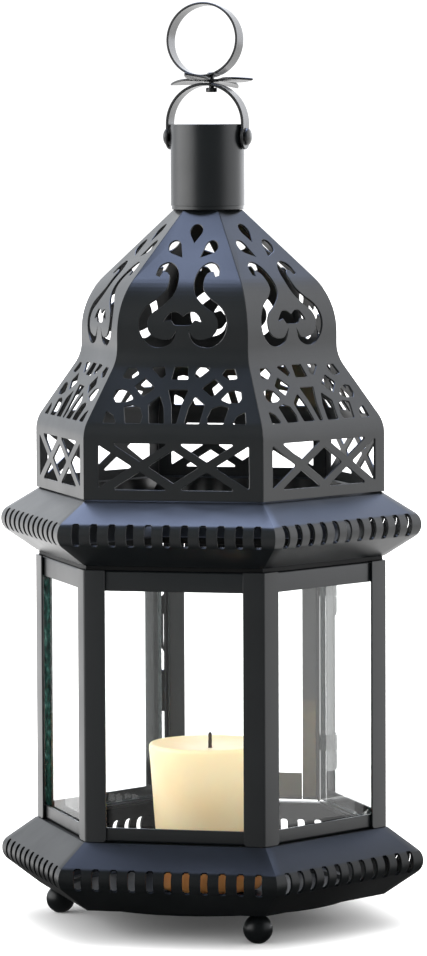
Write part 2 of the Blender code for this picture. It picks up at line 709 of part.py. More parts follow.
def add_door():
    face = APOTHEM
    edge, inner = DOOR_HALF, DOOR_HALF - STILE
    back = face - DOOR_FLANGE
    low, high = DOOR_Z
    stile = [(-edge, face), (-edge, back), (-edge + SHEET, back), (-edge + SHEET, face - SHEET),
             (-inner, face - SHEET), (-inner, face)]
    add_part("door_stile_latch", upright_bar("door_stile", stile, low, high), BLACK, parent=DOOR_AXIS)
    other = mirrored(stile)
    add_part("door_stile_hinge", upright_bar("door_stile", other, low, high), BLACK, parent=DOOR_AXIS)
    turn = turn_z(90)
    length = 2 * (inner - GAP)
    for name, bottom, top in (("top", high - DOOR_TOP_RAIL, high), ("bottom", low, low + DOOR_BOTTOM_RAIL)):
        section = [(face - SHEET, bottom), (face, bottom), (face, top), (face - SHEET, top)]
        add_part(f"door_rail_{name}", section_bar("door_rail", section, length), BLACK,
                 parent=DOOR_AXIS, matrix=turn)
    front = face - SHEET - GAP
    width = 2 * (edge - SHEET - 2 * GAP)
    margin = 1.2 * MM
    pane = [(front - GLASS, low + margin), (front, low + margin), (front, high - margin),
            (front - GLASS, high - margin)]
    add_part("door_glass", section_bar("door_glass", pane, width), CLEAR, parent=DOOR_AXIS, matrix=turn)


def hinge_leaf_section(length):
    """Plan of a hinge leaf about its pin: the plate runs along -X on the -Y side of the knuckle."""
    back = -HINGE_OFFSET * cos(pi / SIDES) + GAP
    front = back + HINGE_SHEET
    start = degrees(asin(back / KNUCKLE_R))
    end = 180 - degrees(asin(front / KNUCKLE_R))
    return [(-length, back), *arc((0, 0), KNUCKLE_R, -180 - start, end, 10), (-length, front)]


def add_hinges():
    bore = circle((0, 0), KNUCKLE_BORE, 10)
    for place, middle in zip(("upper", "lower"), HINGE_Z):
        at = Vector((HINGE_AXIS.x, HINGE_AXIS.y, middle))
        lift = Vector((0, 0, (KNUCKLE_HEIGHT + GAP) / 2))
        door = flat_sheet("hinge_door", hinge_leaf_section(HINGE_LEAF["door"]), [bore], KNUCKLE_HEIGHT)
        add_part(f"hinge_leaf_door_{place}", door, BLACK, parent=DOOR_AXIS, matrix=Matrix.Translation(at + lift))
        plan = mirrored(hinge_leaf_section(HINGE_LEAF["post"]))
        post = flat_sheet("hinge_post", plan, [bore], KNUCKLE_HEIGHT)
        add_part(f"hinge_leaf_post_{place}", post, BLACK, matrix=Matrix.Translation(at - lift) @ turn_z(-60))
        end = KNUCKLE_HEIGHT + GAP / 2 + GAP
        head = 0.7 * MM
        profile = [(0, end + head), (0.7 * PIN_HEAD, end + head), (PIN_HEAD, end + 0.4 * head), (PIN_HEAD, end),
                   (PIN_R, end), (PIN_R, -end), (PIN_HEAD, -end), (PIN_HEAD, -end - head), (0, -end - head)]
        turned(f"hinge_pin_{place}", profile, BLACK, 12).location = at


def add_latch():
    """A flat hook that hangs from a stud on the door stile and crosses the gap beside the post."""
    x, z = LATCH_PIVOT
    left, low = -31.6 * MM, 102.4 * MM
    tail = [(left + 0.05 * MM, 93 * MM), (-31.1 * MM, 89.9 * MM), (-29.9 * MM, 88.2 * MM), (-28.2 * MM, 87.4 * MM)]
    back = [(-27.9 * MM, 88.3 * MM), (-29.3 * MM, 89.1 * MM), (-30.2 * MM, 90.5 * MM), (-30.5 * MM, 93 * MM)]
    outline = [(left, low), *tail, *back, (-30.5 * MM, low), (x + 1.2 * MM, low),
               *arc((x, z), 3.0 * MM, -60, 90, 6), (left + 1.5 * MM, z + 3.0 * MM), (left, z + 1.6 * MM)]
    hole = circle((x, z), 1.3 * MM, 10)
    mesh = flat_sheet("latch_hook", [(-u, v) for u, v in outline], [[(-u, v) for u, v in hole]], LATCH_SHEET)
    front = APOTHEM + GAP + LATCH_SHEET / 2
    stand = Matrix(((-1, 0, 0, 0), (0, 0, 1, front), (0, 1, 0, 0), (0, 0, 0, 1)))
    mesh.transform(stand)
    add_part("latch_hook", mesh, BLACK, parent=LATCH_AXIS)
    base = APOTHEM + GAP
    cover = base + LATCH_SHEET + GAP
    profile = [(0, cover + 0.8 * MM), (1.3 * MM, cover + 0.7 * MM), (2.1 * MM, cover + 0.3 * MM), (2.1 * MM, cover),
               (1.0 * MM, cover), (1.0 * MM, base), (0, base)]
    stud = turned("latch_stud", profile, BLACK, 14)
    stud.matrix_world = Matrix.Translation((x, 0, z)) @ Matrix.Rotation(-pi / 2, 4, "X")
    bm = bmesh.new()
    bmesh.ops.create_cube(bm, size=1, matrix=Matrix.Diagonal((*KEEPER_SIZE, 1)))
    mesh = bpy.data.meshes.new("latch_keeper")
    bm.to_mesh(mesh)
    bm.free()
    place = Vector((KEEPER_AT[0], APOTHEM + GAP + KEEPER_SIZE[1] / 2, KEEPER_AT[1]))
    keeper = add_part("latch_keeper", mesh, BLACK, matrix=Matrix.Translation(place))
    add_bevel(keeper, 0.7 * MM, 2)


clear_scene()
LANTERN = new_collection("moroccan_lantern")
CUTTERS = new_collection("cutters")
BLACK = make_material("satin_black", (0.022, 0.023, 0.025), 0.42, metallic=0.2)
CLEAR = make_material("clear_glass", (0.80, 0.90, 0.88), 0.04, alpha=0.25)
WAX = make_material("cream_wax", (0.90, 0.74, 0.45), 0.55)
CHAR = make_material("burnt_wick", (0.05, 0.03, 0.02), 0.90)
BAIL_AXIS = add_axis("bail_axis", (0, 0, BAIL_PIVOT_Z))
RING_AXIS = add_axis("ring_axis", turn_z(BAIL_TURN) @ Vector((SWIVEL_X, 0, RING_BOTTOM)))
DOOR_AXIS = add_axis("door_axis", (HINGE_AXIS.x, HINGE_AXIS.y, 0))
LATCH_AXIS = add_axis("latch_axis", (LATCH_PIVOT[0], APOTHEM, LATCH_PIVOT[1]))

add_base()
add_posts()
add_walls()
add_cornice()
add_dome()
add_neck()
add_bail()
add_ring()
add_door()
add_hinges()
add_latch()
add_candle()
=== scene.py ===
"""Looks of a hexagonal pierced-metal candle lantern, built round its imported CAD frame.

Metres, +Z up, with the CAD's own axes: corner 0 of the hexagon lies on +X, the corners go round
anticlockwise every 60 degrees, the door is on the +Y side and the camera stands on the -Y side.
"""

import json
from math import acos, asin, atan2, cos, degrees, hypot, pi, radians, sin, sqrt, tan

import bmesh
import bpy
from mathutils import Matrix, Vector, noise

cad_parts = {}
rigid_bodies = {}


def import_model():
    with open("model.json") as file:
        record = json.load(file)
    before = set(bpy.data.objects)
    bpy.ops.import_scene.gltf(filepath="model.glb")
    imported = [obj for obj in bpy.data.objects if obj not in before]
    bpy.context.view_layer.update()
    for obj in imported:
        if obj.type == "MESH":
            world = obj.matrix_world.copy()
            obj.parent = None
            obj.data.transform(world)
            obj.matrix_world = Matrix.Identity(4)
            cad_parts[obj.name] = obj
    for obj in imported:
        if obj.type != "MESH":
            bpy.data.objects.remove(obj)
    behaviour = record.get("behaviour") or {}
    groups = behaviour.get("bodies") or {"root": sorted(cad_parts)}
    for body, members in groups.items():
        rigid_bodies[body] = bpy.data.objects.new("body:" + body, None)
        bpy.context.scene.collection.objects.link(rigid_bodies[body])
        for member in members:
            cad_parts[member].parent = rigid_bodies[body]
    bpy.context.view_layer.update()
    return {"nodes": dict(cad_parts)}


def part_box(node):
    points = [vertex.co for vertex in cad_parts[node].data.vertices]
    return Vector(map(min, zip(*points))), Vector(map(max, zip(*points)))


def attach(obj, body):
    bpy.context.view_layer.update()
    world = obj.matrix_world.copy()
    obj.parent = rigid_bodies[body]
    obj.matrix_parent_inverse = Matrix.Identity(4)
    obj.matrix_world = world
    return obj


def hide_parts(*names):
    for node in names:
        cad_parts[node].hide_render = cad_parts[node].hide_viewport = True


MM = 0.001
SIDES = 6
SHEET = 0.80 * MM  # gauge of the folded sheet
EDGE = 0.12 * MM  # chamfer of a cut sheet edge, rounded by its paint
THICK_EDGE = 0.2 * MM  # the same on the strips and fittings
HALF_SIDE = pi / SIDES
POLE = 1e-7  # a turned profile's radius under which its ring is one point

# Body
POST_LEAF = 7.5 * MM
POST_DOOR_LIP = 0.9 * MM
POST_FOLD = 0.63 * MM
RAIL_FOLD = 0.6 * MM
REACH_DOWN = 0.25 * MM  # posts and bottom rails close the gap to the skirt's lip
GLASS_INSET = 2.2 * MM
ROUGH_SIDES = (3, 5)  # the panes on both sides of the front have the roughest edges
RAIL_INSET = 1.1 * MM
RAIL_DEPTH = 3.4 * MM

# Slotted strips (corner radius and height of their folds)
NOSE_ROUNDING = 5.0
CORNICE = ((61.4, 154.0), (81.2, 142.2), (63.3, 130.8))
SKIRT = ((58.0, 34.5), (64.3, 34.5), (81.0, 22.8), (63.0, 10.4))
SLOTS_PER_SIDE = 11
SLOT_PITCH = 6.4 * MM
SLOT_WIDTH = 2.6 * MM
SLOT_HEIGHT = 7.9 * MM
SLOT_CORNER = 0.55 * MM
SLOTTED_R = 70 * MM  # slots only cut the part of a strip outside this corner radius
EAVE_INNER_R = 57.8 * MM

# Base
DISH_DROP = 1.3 * MM
DISH_R = (51.3 * MM, 52.9 * MM)  # round foot and mouth of the dish
DISH_WALL = ((0.0, 0.0), (0.14, 0.05), (0.3, 0.2), (0.7, 0.8), (0.86, 0.95), (1.0, 1.0))  # foot to mouth
DISH_STEPS = 120
FOOT_RADIUS = 5.15 * MM
FOOT_STEM = 1.6 * MM
FOOT_FLAT = 1.5 * MM

# Dome
DOME_SHEET = 0.70 * MM
DOME_BENDS = ((63.4, 153.6), (63.4, 177.9), (46.4, 201.5), (46.4, 221.3), (12.4, 252.6))
DOME_ROUNDING = (11.0, 13.0, 26.0)
DOME_STEPS = (8, 8, 12)
DOME_SEAM = 0.03  # from a panel's edge to the fold line between two panels

# Neck, bail, flower and ring
BAIL_TURN = -5
BAIL_MID_R = 13.9 * MM
BAIL_ARCH_Z = 282.85 * MM
BAIL_SHEET = 1.0 * MM
BAIL_WIDTH = 7.0 * MM
BAIL_PAD_R = 4.5 * MM
BAIL_STEPS = 40
RIVET_SHAFT = 1.5 * MM
RIVET_HOLE = 1.9 * MM
RIVET_HEAD = 3.1 * MM
SWIVEL_SHAFT = 0.9 * MM
SWIVEL_HOLE = 1.25 * MM
SWIVEL_X = 1.6 * MM
FLOWER_Z = 297.7 * MM
FLOWER_SHEET = 0.8 * MM
PETAL_LENGTH = 17.3 * MM
PETAL_WIDTH = 7.6 * MM
PETAL_ROOT = 3 * MM  # the hub inside this radius stays flat
# heading, tip lift, and sideways slope of each petal
PETALS = ((-20, 0.2 * MM, -0.16), (70, -2.6 * MM, 0.0), (160, -1.4 * MM, 0.16), (250, 2.3 * MM, 0.0))
RING_R = 13.19 * MM
RING_SHEET = 0.8 * MM
RING_WIDTH = 7.4 * MM
RING_BOTTOM = 299.3 * MM
RING_LEAN = radians(12)
RING_TILT = radians(4)
RING_TURN = -6
RING_SEAM_AT = 1.56 * pi

# Latch: its pivot in (x, z) on the door's face
LATCH_PIVOT = (-27.4 * MM, 107.0 * MM)
LATCH_EYE_R = 3.0 * MM

# Candle: radius and drop from the top, in mm, from the edge of the wick's hole to the rim
MELT_POOL = ((1.1, 1.95), (2.2, 1.88), (6, 1.86), (10, 1.75), (14, 1.45), (17, 1.05), (19, 0.45),
             (20.1, 0.12), (20.9, 0))
CANDLE_FOOT_R = 18.0 * MM
CANDLE_SIDE_STEPS = 25
WICK_R = 0.8 * MM
WICK_STEPS = 26

# Camera
CAMERA_AT = (0.3724, -1.6172, 0.2859)
CAMERA_HEADING = 12.912
CAMERA_PITCH = 85.572
CAMERA_ROLL = -0.25
CAMERA_LENS = 176.6
FLOOR_HALF = 6.0

# Materials
GLOSS_SPREAD = 0.035  # how far the paint's roughness strays either way
GLASS_IOR = 1.5
WAX_SHADE_Z = (22 * MM, 36 * MM)  # where the painted shade at the wax's foot, a dark orange, starts and stops fading out

ALONG_X, ALONG_Y = (1, 0, 0), (0, 1, 0)
SWAP_YZ = Matrix(((1, 0, 0, 0), (0, 0, 1, 0), (0, 1, 0, 0), (0, 0, 0, 1)))
STAND_UP = Matrix.Rotation(pi / 2, 4, "X")  # turns a flat sheet's +Y up


# ---- geometry helpers


def corner_point(radius, angle):
    return Vector((cos(radians(angle)), sin(radians(angle)))) * radius


def turn_z(angle):
    return Matrix.Rotation(radians(angle), 4, "Z")


def side_place(side):
    """Turns a shape that faces +X to face the same way as a side of the hexagon."""
    return turn_z(30 + 60 * side)


def arc(centre, radius, start, end, steps):
    angles = [radians(start + (end - start) * k / steps) for k in range(steps + 1)]
    return [(centre[0] + radius * cos(a), centre[1] + radius * sin(a)) for a in angles]


def circle(centre, radius, steps):
    return arc(centre, radius, 0, 360, steps)[:-1]


def rectangle(left, bottom, right, top):
    return [(left, bottom), (right, bottom), (right, top), (left, top)]


def mirrored(shape):
    return [(-u, v) for u, v in reversed(shape)]


def rounded_path(tips, radii, steps):
    """A polyline through the tips, with an arc of the given radius at each inner one."""
    path = [Vector(tips[0])]
    for before, tip, after, radius, count in zip(tips, tips[1:-1], tips[2:], radii, steps):
        tip = Vector(tip)
        to_before = (Vector(before) - tip).normalized()
        to_after = (Vector(after) - tip).normalized()
        half = to_before.angle(to_after) / 2
        centre = tip + (to_before + to_after).normalized() * radius / sin(half)
        first = tip + to_before * radius / tan(half) - centre
        last = tip + to_after * radius / tan(half) - centre
        sweep = pi - 2 * half
        for k in range(count + 1):
            turned = sweep * k / count
            path.append(centre + (first * sin(sweep - turned) + last * sin(turned)) / sin(sweep))
    path.append(Vector(tips[-1]))
    return path


def rounded_loop(tips, radius, steps=3):
    """A closed outline with each corner rounded."""
    loop = []
    count = len(tips)
    for i in range(count):
        part = rounded_path((tips[i - 1], tips[i], tips[(i + 1) % count]), (radius,), (steps,))
        loop += [tuple(p) for p in part[1:-1]]
    return loop


def smooth_spine(points, steps):
    """Points along a Catmull-Rom curve through the given ones."""
    points = [Vector(p) for p in points]
    ends = [2 * points[0] - points[1], *points, 2 * points[-1] - points[-2]]
    line = []
    for p0, p1, p2, p3 in zip(ends, ends[1:], ends[2:], ends[3:]):
        for k in range(steps):
            t = k / steps
            line.append(0.5 * (2 * p1 + (p2 - p0) * t + (2 * p0 - 5 * p1 + 4 * p2 - p3) * t * t
                               + (3 * p1 - p0 - 3 * p2 + p3) * t**3))
    line.append(points[-1])
    return line


def mesh_from(bm, name):
    """End a bmesh as a mesh, with its faces pointing out."""
    bmesh.ops.recalc_face_normals(bm, faces=bm.faces)
    mesh = bpy.data.meshes.new(name)
    bm.to_mesh(mesh)
    bm.free()
    return mesh


def flat_sheet(name, outline, holes=(), thickness=SHEET, chamfer=EDGE):
    """A flat plate in the XY plane with holes, centred on z = 0, with chamfered edges, as a welded mesh."""
    curve = bpy.data.curves.new(name, "CURVE")
    curve.dimensions = "2D"
    curve.fill_mode = "BOTH"
    curve.extrude = thickness / 2 - chamfer
    curve.bevel_depth = chamfer
    curve.bevel_resolution = 0
    curve.offset = -chamfer
    for loop in [outline, *holes]:
        spline = curve.splines.new("POLY")
        spline.points.add(len(loop) - 1)
        for point, (x, y) in zip(spline.points, loop):
            point.co = (x, y, 0, 1)
        spline.use_cyclic_u = True
    guide = bpy.data.objects.new(name, curve)
    bpy.context.scene.collection.objects.link(guide)
    rough = bpy.data.meshes.new_from_object(evaluated(guide))
    bm = bmesh.new()
    bm.from_mesh(rough)
    for spare, store in ((guide, bpy.data.objects), (curve, bpy.data.curves), (rough, bpy.data.meshes)):
        store.remove(spare)
    bmesh.ops.remove_doubles(bm, verts=bm.verts, dist=0.000001)
    return mesh_from(bm, name)


def bend(mesh, cuts, shape, merge=0.00001):
    """Cut the sheet by planes, each a (normal, distance), then move its points by shape(x, y, z)."""
    bm = bmesh.new()
    bm.from_mesh(mesh)
    for normal, distance in cuts:
        normal = Vector(normal)
        bmesh.ops.bisect_plane(bm, geom=[*bm.verts, *bm.edges, *bm.faces], dist=merge,
                               plane_co=normal * distance, plane_no=normal)
    for vert in bm.verts:
        vert.co = shape(*vert.co)
    bmesh.ops.triangulate(bm, faces=[f for f in bm.faces if len(f.verts) > 4])
    name = mesh.name
    bpy.data.meshes.remove(mesh)
    return mesh_from(bm, name)


def folded(name, outline, path, holes=(), thickness=SHEET, chamfer=EDGE):
    """A sheet whose x runs along a 2D path and whose y stays straight: its points come out as (path, y)."""
    path = [Vector(p) for p in path]
    lengths = [0.0]
    for a, b in zip(path, path[1:]):
        lengths.append(lengths[-1] + (b - a).length)
    sides = []
    for i, point in enumerate(path):
        into = (point - path[i - 1]).normalized() if i else (path[1] - path[0]).normalized()
        out = (path[i + 1] - point).normalized() if i < len(path) - 1 else into
        along = (into + out).normalized()
        sides.append(Vector((-along.y, along.x)) / max(along.dot(into), 0.3))

    def shape(x, y, t):
        i = span(lengths, x)
        share = (x - lengths[i]) / (lengths[i + 1] - lengths[i])
        start, end = path[i] + sides[i] * t, path[i + 1] + sides[i + 1] * t
        flat = start + (end - start) * share
        return Vector((flat.x, flat.y, y))

    cuts = [(ALONG_X, length) for length in lengths[1:-1]]
    return bend(flat_sheet(name, outline, holes, thickness, chamfer), cuts, shape)


def folded_strip(name, path, low, high, **details):
    """A whole strip folded along a path, between two heights."""
    return folded(name, rectangle(0, low, path_length(path), high), path, **details)


def span(levels, place):
    """The index of the stretch between two levels that a place falls in."""
    i = 0
    while i < len(levels) - 2 and place > levels[i + 1] + 1e-9:
        i += 1
    return i


def path_length(path):
    return sum((Vector(b) - Vector(a)).length for a, b in zip(path, path[1:]))


def join_rings(bm, pairs):
    """Faces between pairs of rings of points; a ring of one point is a pole."""
    for upper, lower in pairs:
        steps = max(len(upper), len(lower))
        for k in range(steps):
            loop = [upper[k % len(upper)], lower[k % len(lower)],
                    lower[(k + 1) % len(lower)], upper[(k + 1) % len(upper)]]
            bm.faces.new(list(dict.fromkeys(loop)))


def turned_mesh(name, profile, steps, closed=False):
    """A body turned about Z from a profile of (radius, height) that runs down its outer side."""
    bm = bmesh.new()
    rings = []
    for radius, height in profile:
        points = circle((0, 0), radius, steps) if radius > POLE else [(0, 0)]
        rings.append([bm.verts.new((x, y, height)) for x, y in points])
    join_rings(bm, zip(rings, [*rings[1:], rings[0]] if closed else rings[1:]))
    return mesh_from(bm, name)


def evaluated(obj):
    return obj.evaluated_get(bpy.context.evaluated_depsgraph_get())


def piece(node, suffix, mesh, material, body="lantern", matrix=None, angle=25):
    """Put a mesh in the scene as the named piece that stands for one CAD node."""
    obj = bpy.data.objects.new(f"{node}_{suffix}", mesh)
    if not mesh.materials:
        mesh.materials.append(material)
    bpy.context.scene.collection.objects.link(obj)
    if matrix is not None:
        obj.matrix_world = matrix
    mesh.shade_smooth()
    mesh.set_sharp_from_angle(angle=radians(angle))
    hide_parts(node)
    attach(obj, body)
    return obj


# ---- materials


def set_inputs(tree, node, inputs):
    """Set a node's inputs by name or number; a value may be the output of another node."""
    for key, value in inputs.items():
        if isinstance(value, bpy.types.NodeSocket):
            tree.links.new(value, node.inputs[key])
        else:
            node.inputs[key].default_value = value


def add_node(tree, kind, output, inputs=None, **settings):
    """One output of a new shader node."""
    node = tree.nodes.new(f"ShaderNode{kind}")
    for key, value in settings.items():
        setattr(node, key, value)
    set_inputs(tree, node, inputs or {})
    return node.outputs[output]


def new_material(name):
    material = bpy.data.materials.new(name)
    material.use_nodes = True
    tree = material.node_tree
    return material, tree, tree.nodes["Principled BSDF"]


def mix_shaders(tree, factor, first, second):
    return add_node(tree, "MixShader", "Shader", {"Fac": factor, 1: first, 2: second})


def add_noise(tree, scale, detail, roughness=0.5, stretch=None):
    """Noise in the object's own space, drawn out along an axis where stretch is under 1."""
    source = add_node(tree, "TexCoord", "Object")
    if stretch is not None:
        source = add_node(tree, "Mapping", "Vector", {"Vector": source, "Scale": stretch})
    inputs = {"Vector": source, "Scale": scale, "Detail": detail, "Roughness": roughness}
    return add_node(tree, "TexNoise", "Fac", inputs)


def add_ramp(tree, factor, stops, interpolation="LINEAR"):
    """A ramp whose stops are (place, colour or grey)."""
    colour = add_node(tree, "ValToRGB", "Color", {"Fac": factor})
    ramp = colour.node.color_ramp
    ramp.interpolation = interpolation
    while len(ramp.elements) < len(stops):
        ramp.elements.new(0.5)
    for element, (place, value) in zip(ramp.elements, stops):
        element.position = place
        element.color = (*value, 1) if isinstance(value, tuple) else (value, value, value, 1)
    return colour


def add_bump(tree, height, distance, **under):
    inputs = {"Height": height, "Distance": distance, "Strength": 1.0, **under}
    return add_node(tree, "Bump", "Normal", inputs)


def add_fade(tree, value, start, end, low=0.0, high=1.0):
    """A smooth step of a value from low, at start, to high, at end."""
    inputs = {"Value": value, "From Min": start, "From Max": end, "To Min": low, "To Max": high}
    return add_node(tree, "MapRange", "Result", inputs, interpolation_type="SMOOTHSTEP")


def make_powder_coat(name, dark, light, gloss, specular=0.5):
    """Satin black powder coat: a fine orange peel, with slightly uneven gloss and colour."""
    material, tree, shader = new_material(name)
    cloud = add_noise(tree, 42, 4)
    peel = add_bump(tree, add_noise(tree, 900, 2), 0.000012)
    set_inputs(tree, shader, {
        "Base Color": add_ramp(tree, cloud, ((0.3, dark), (0.7, light))),
        "Roughness": add_ramp(tree, cloud, ((0.3, gloss + GLOSS_SPREAD), (0.7, gloss - GLOSS_SPREAD))),
        "Specular IOR Level": specular,
        "Normal": add_bump(tree, add_noise(tree, 55, 2), 0.00012, Normal=peel)})
    return material


def make_glass():
    """Clear float glass that lets light straight through and mirrors by its angle."""
    material, tree, shader = new_material("clear_glass")
    tree.nodes.remove(shader)
    leaving = add_node(tree, "NewGeometry", "Backfacing")
    inputs = {"Value": leaving, "To Min": GLASS_IOR, "To Max": 1 / GLASS_IOR}
    mirrored_share = add_node(tree, "Fresnel", "Fac", {"IOR": add_node(tree, "MapRange", "Result", inputs)})
    clear = add_node(tree, "BsdfTransparent", "BSDF", {"Color": (0.992, 0.999, 0.997, 1)})
    wave = add_bump(tree, add_noise(tree, 26, 1), 0.00005)
    mirror = add_node(tree, "BsdfGlossy", "BSDF", {"Roughness": 0.012, "Normal": wave})
    surface = mix_shaders(tree, mirrored_share, clear, mirror)
    set_inputs(tree, tree.nodes["Material Output"], {"Surface": surface})
    return material


def make_glass_edge(name, stops):
    """The rough cut edge of a pane, with brighter chips in it."""
    material, tree, shader = new_material(name)
    chips = add_noise(tree, 900, 3, 0.65, (1.0, 1.0, 0.32))
    set_inputs(tree, shader, {"Base Color": add_ramp(tree, chips, stops), "Roughness": 0.16,
                              "IOR": GLASS_IOR, "Normal": add_bump(tree, chips, 0.0004)})
    return material


def make_wax():
    """Cream wax that lets some light through, painted a darker orange towards its foot as painted shade
    where the skirt hides it.
    """
    material, tree, shader = new_material("cream_wax")
    cream = add_ramp(tree, add_noise(tree, 60, 3), ((0.3, (0.99, 0.74, 0.42)), (0.7, (0.99, 0.80, 0.51))))
    height = add_node(tree, "SeparateXYZ", "Z", {"Vector": add_node(tree, "TexCoord", "Object")})
    # painted shade: low on the candle, behind the skirt, the cream fades to a dark orange
    inputs = {"Factor": add_fade(tree, height, *WAX_SHADE_Z), "A": (0.62, 0.27, 0.09, 1), "B": cream}
    lumps = add_bump(tree, add_noise(tree, 90, 2), 0.00035)
    set_inputs(tree, shader, {
        "Base Color": add_node(tree, "Mix", "Result", inputs, data_type="RGBA"),
        "Roughness": 0.42, "Subsurface Weight": 0.4, "Subsurface Scale": 1.0,
        "Subsurface Radius": (0.012, 0.0065, 0.0028),
        "Normal": add_bump(tree, add_noise(tree, 700, 3), 0.00003, Normal=lumps)})
    return material


def make_wick():
    material, tree, shader = new_material("burnt_wick")
    strands = add_noise(tree, 1500, 3, 0.6, (1.0, 1.0, 0.35))
    stops = ((0.35, (0.012, 0.008, 0.006)), (0.65, (0.085, 0.050, 0.032)))
    set_inputs(tree, shader, {"Base Color": add_ramp(tree, strands, stops), "Roughness": 0.9,
                              "Normal": add_bump(tree, strands, 0.0003)})
    return material


# ---- dome


def teardrop(tip, centre, radius, steps=16):
    """A round lobe drawn out to a point."""
    dx, dz = tip[0] - centre[0], tip[1] - centre[1]
    heading = degrees(atan2(dz, dx))
    spread = degrees(pi / 2 - asin(radius / sqrt(dx * dx + dz * dz)))
    return [tip, *arc(centre, radius, heading + spread, heading + 360 - spread, steps)]


SCROLL_SPINE = (
    (10.6, 230.2), (9.6, 232.6), (7.2, 233.1), (5.2, 231.4), (4.5, 228.2), (5.3, 224.6), (8.4, 221.4),
    (12.2, 218.6), (14.1, 215.0), (13.7, 211.0), (11.2, 208.0), (7.4, 207.1), (4.0, 208.2), (2.2, 211.4),
)
SCROLL_WIDTH = 3.2
MOUSTACHE_HALF = (
    (0, 216.5), (2.2, 217.9), (4.6, 217.7), (6.9, 214.6), (4.4, 215.2), (2.9, 213.6), (0, 213.4),
)
LATTICE_CELLS = (
    ((20.5, 180.2), (25.4, 180.2), (24.6, 184.3), (22.0, 182.9)),
    ((11.9, 180.2), (17.4, 180.2), (18.6, 185.7), (15.6, 186.3), (12.7, 185.3), (11.5, 182.5)),
    ((3.5, 180.2), (8.9, 180.2), (10.0, 186.5), (6.2, 189.4), (4.4, 185.4)),
    ((15.4, 188.3), (18.2, 187.2), (21.8, 187.2), (22.8, 188.7), (22.3, 191.0), (20.2, 191.5),
     (17.6, 190.8)),
    ((8.3, 192.0), (12.3, 189.1), (15.8, 192.4), (12.4, 195.2)),
    ((14.7, 196.6), (17.2, 194.9), (20.5, 195.3), (19.0, 198.6), (15.9, 198.5)),
    ((6.6, 195.3), (10.9, 198.9), (6.0, 199.2), (5.1, 196.3)),
)
CENTRE_CELLS = (
    ((-0.8, 180.2), (0.8, 180.2), (1.8, 186.6), (3.6, 191.5), (-3.6, 191.5), (-1.8, 186.6)),
    ((-3.0, 194.9), (3.0, 194.9), (2.3, 199.2), (-2.3, 199.2)),
)
WINDOW_HALF = 26.8
WINDOW_Z = (157.3, 173.3)
CROSS_AT = 11.9
STRUT_SLOPE = 0.62
STRUT_HALF = 1.5


def scroll_outline():
    """The outline of one scroll: a stroke that swells from a hooked start and runs out to a point."""
    line = smooth_spine(SCROLL_SPINE, 4)
    left, right = [], []
    last = len(line) - 1
    for i, point in enumerate(line):
        along = (line[min(i + 1, last)] - line[max(i - 1, 0)]).normalized()
        share = i / last
        swell = min(1.0, 0.42 + 4.2 * share) if share < 0.5 else min(1.0, (1 - share) * 5.2)
        side = Vector((-along.y, along.x)) * SCROLL_WIDTH / 2 * swell
        if i == last:
            left.append(point)
        else:
            left.append(point + side)
            right.append(point - side)
    return [tuple(p) for p in left + right[::-1]]


def window_cells():
    """The openings between the two crosses that fill the window in the upright band."""
    middle = (WINDOW_Z[0] + WINDOW_Z[1]) / 2
    rise = STRUT_HALF * sqrt(1 + STRUT_SLOPE**2)
    reach = rise / STRUT_SLOPE
    over = (WINDOW_Z[1] - middle - rise) / STRUT_SLOPE
    beside = (WINDOW_HALF - CROSS_AT - reach) * STRUT_SLOPE
    inner = CROSS_AT - reach
    drop = inner * STRUT_SLOPE
    cells = [[(-inner, middle), (0, middle - drop), (inner, middle), (0, middle + drop)]]
    for side in (-1, 1):
        cross = side * CROSS_AT
        for base, tip in ((WINDOW_Z[1], middle + rise), (WINDOW_Z[0], middle - rise)):
            cells.append([(cross - over, base), (cross, tip), (cross + over, base)])
        edge = side * WINDOW_HALF
        cells.append([(edge, middle - beside), (cross + side * reach, middle), (edge, middle + beside)])
    return cells


def panel_pattern():
    """Every hole of a panel, as outlines of (distance from the middle line, height) in millimetres."""
    moustache = [tuple(p) for p in smooth_spine(MOUSTACHE_HALF, 3)]
    moustache = [*moustache, *mirrored(moustache[1:-1])]
    lower_drop = teardrop((3.3, 236.5), (6.6, 240.0), 2.2)
    holes = [teardrop((0, 241.4), (0, 245.5), 2.2), moustache]
    holes += [rounded_loop(cell, 0.35, 2) for cell in (*CENTRE_CELLS, *window_cells())]
    for shape in (lower_drop, scroll_outline(), *(rounded_loop(cell, 0.45, 2) for cell in LATTICE_CELLS)):
        holes += [shape, mirrored(shape)]
    return holes


def dome_panel_mesh():
    """One bent, pierced panel whose middle line faces +X."""
    profile = rounded_path(DOME_BENDS, DOME_ROUNDING, DOME_STEPS)
    right = [(radius * sin(HALF_SIDE) - DOME_SEAM, z) for radius, z in profile]
    outline = [(u * MM, z * MM) for u, z in right + mirrored(right)]
    holes = [[(u * MM, z * MM) for u, z in hole] for hole in panel_pattern()]
    mesh = flat_sheet("dome_panel", outline, holes, DOME_SHEET, 0.13 * MM)
    apothems = [(radius * cos(HALF_SIDE) * MM, z * MM) for radius, z in profile]
    heights = [z for _, z in apothems]
    last = len(apothems) - 1
    sides = []
    for i in range(len(apothems)):
        (a0, z0), (a1, z1) = apothems[max(i - 1, 0)], apothems[min(i + 1, last)]
        sides.append(Vector((z0 - z1, a1 - a0)).normalized())

    def shape(u, z, t):
        i = span(heights, z)
        (a0, z0), (a1, z1) = apothems[i], apothems[i + 1]
        share = (z - z0) / (z1 - z0)
        inward = sides[i].lerp(sides[i + 1], share).normalized() * (DOME_SHEET / 2 - t)
        apothem = a0 + (a1 - a0) * share
        return Vector((apothem + inward.x, u * (apothem + inward.x) / apothem, z + inward.y))

    return bend(mesh, [(ALONG_Y, height) for height in heights[1:-1]], shape)


def add_dome(steel):
    mesh = dome_panel_mesh()
    for side in range(SIDES):
        piece(f"dome_panel_{side + 1}", "skin", mesh, steel, matrix=side_place(side), angle=20)


# ---- slotted strips


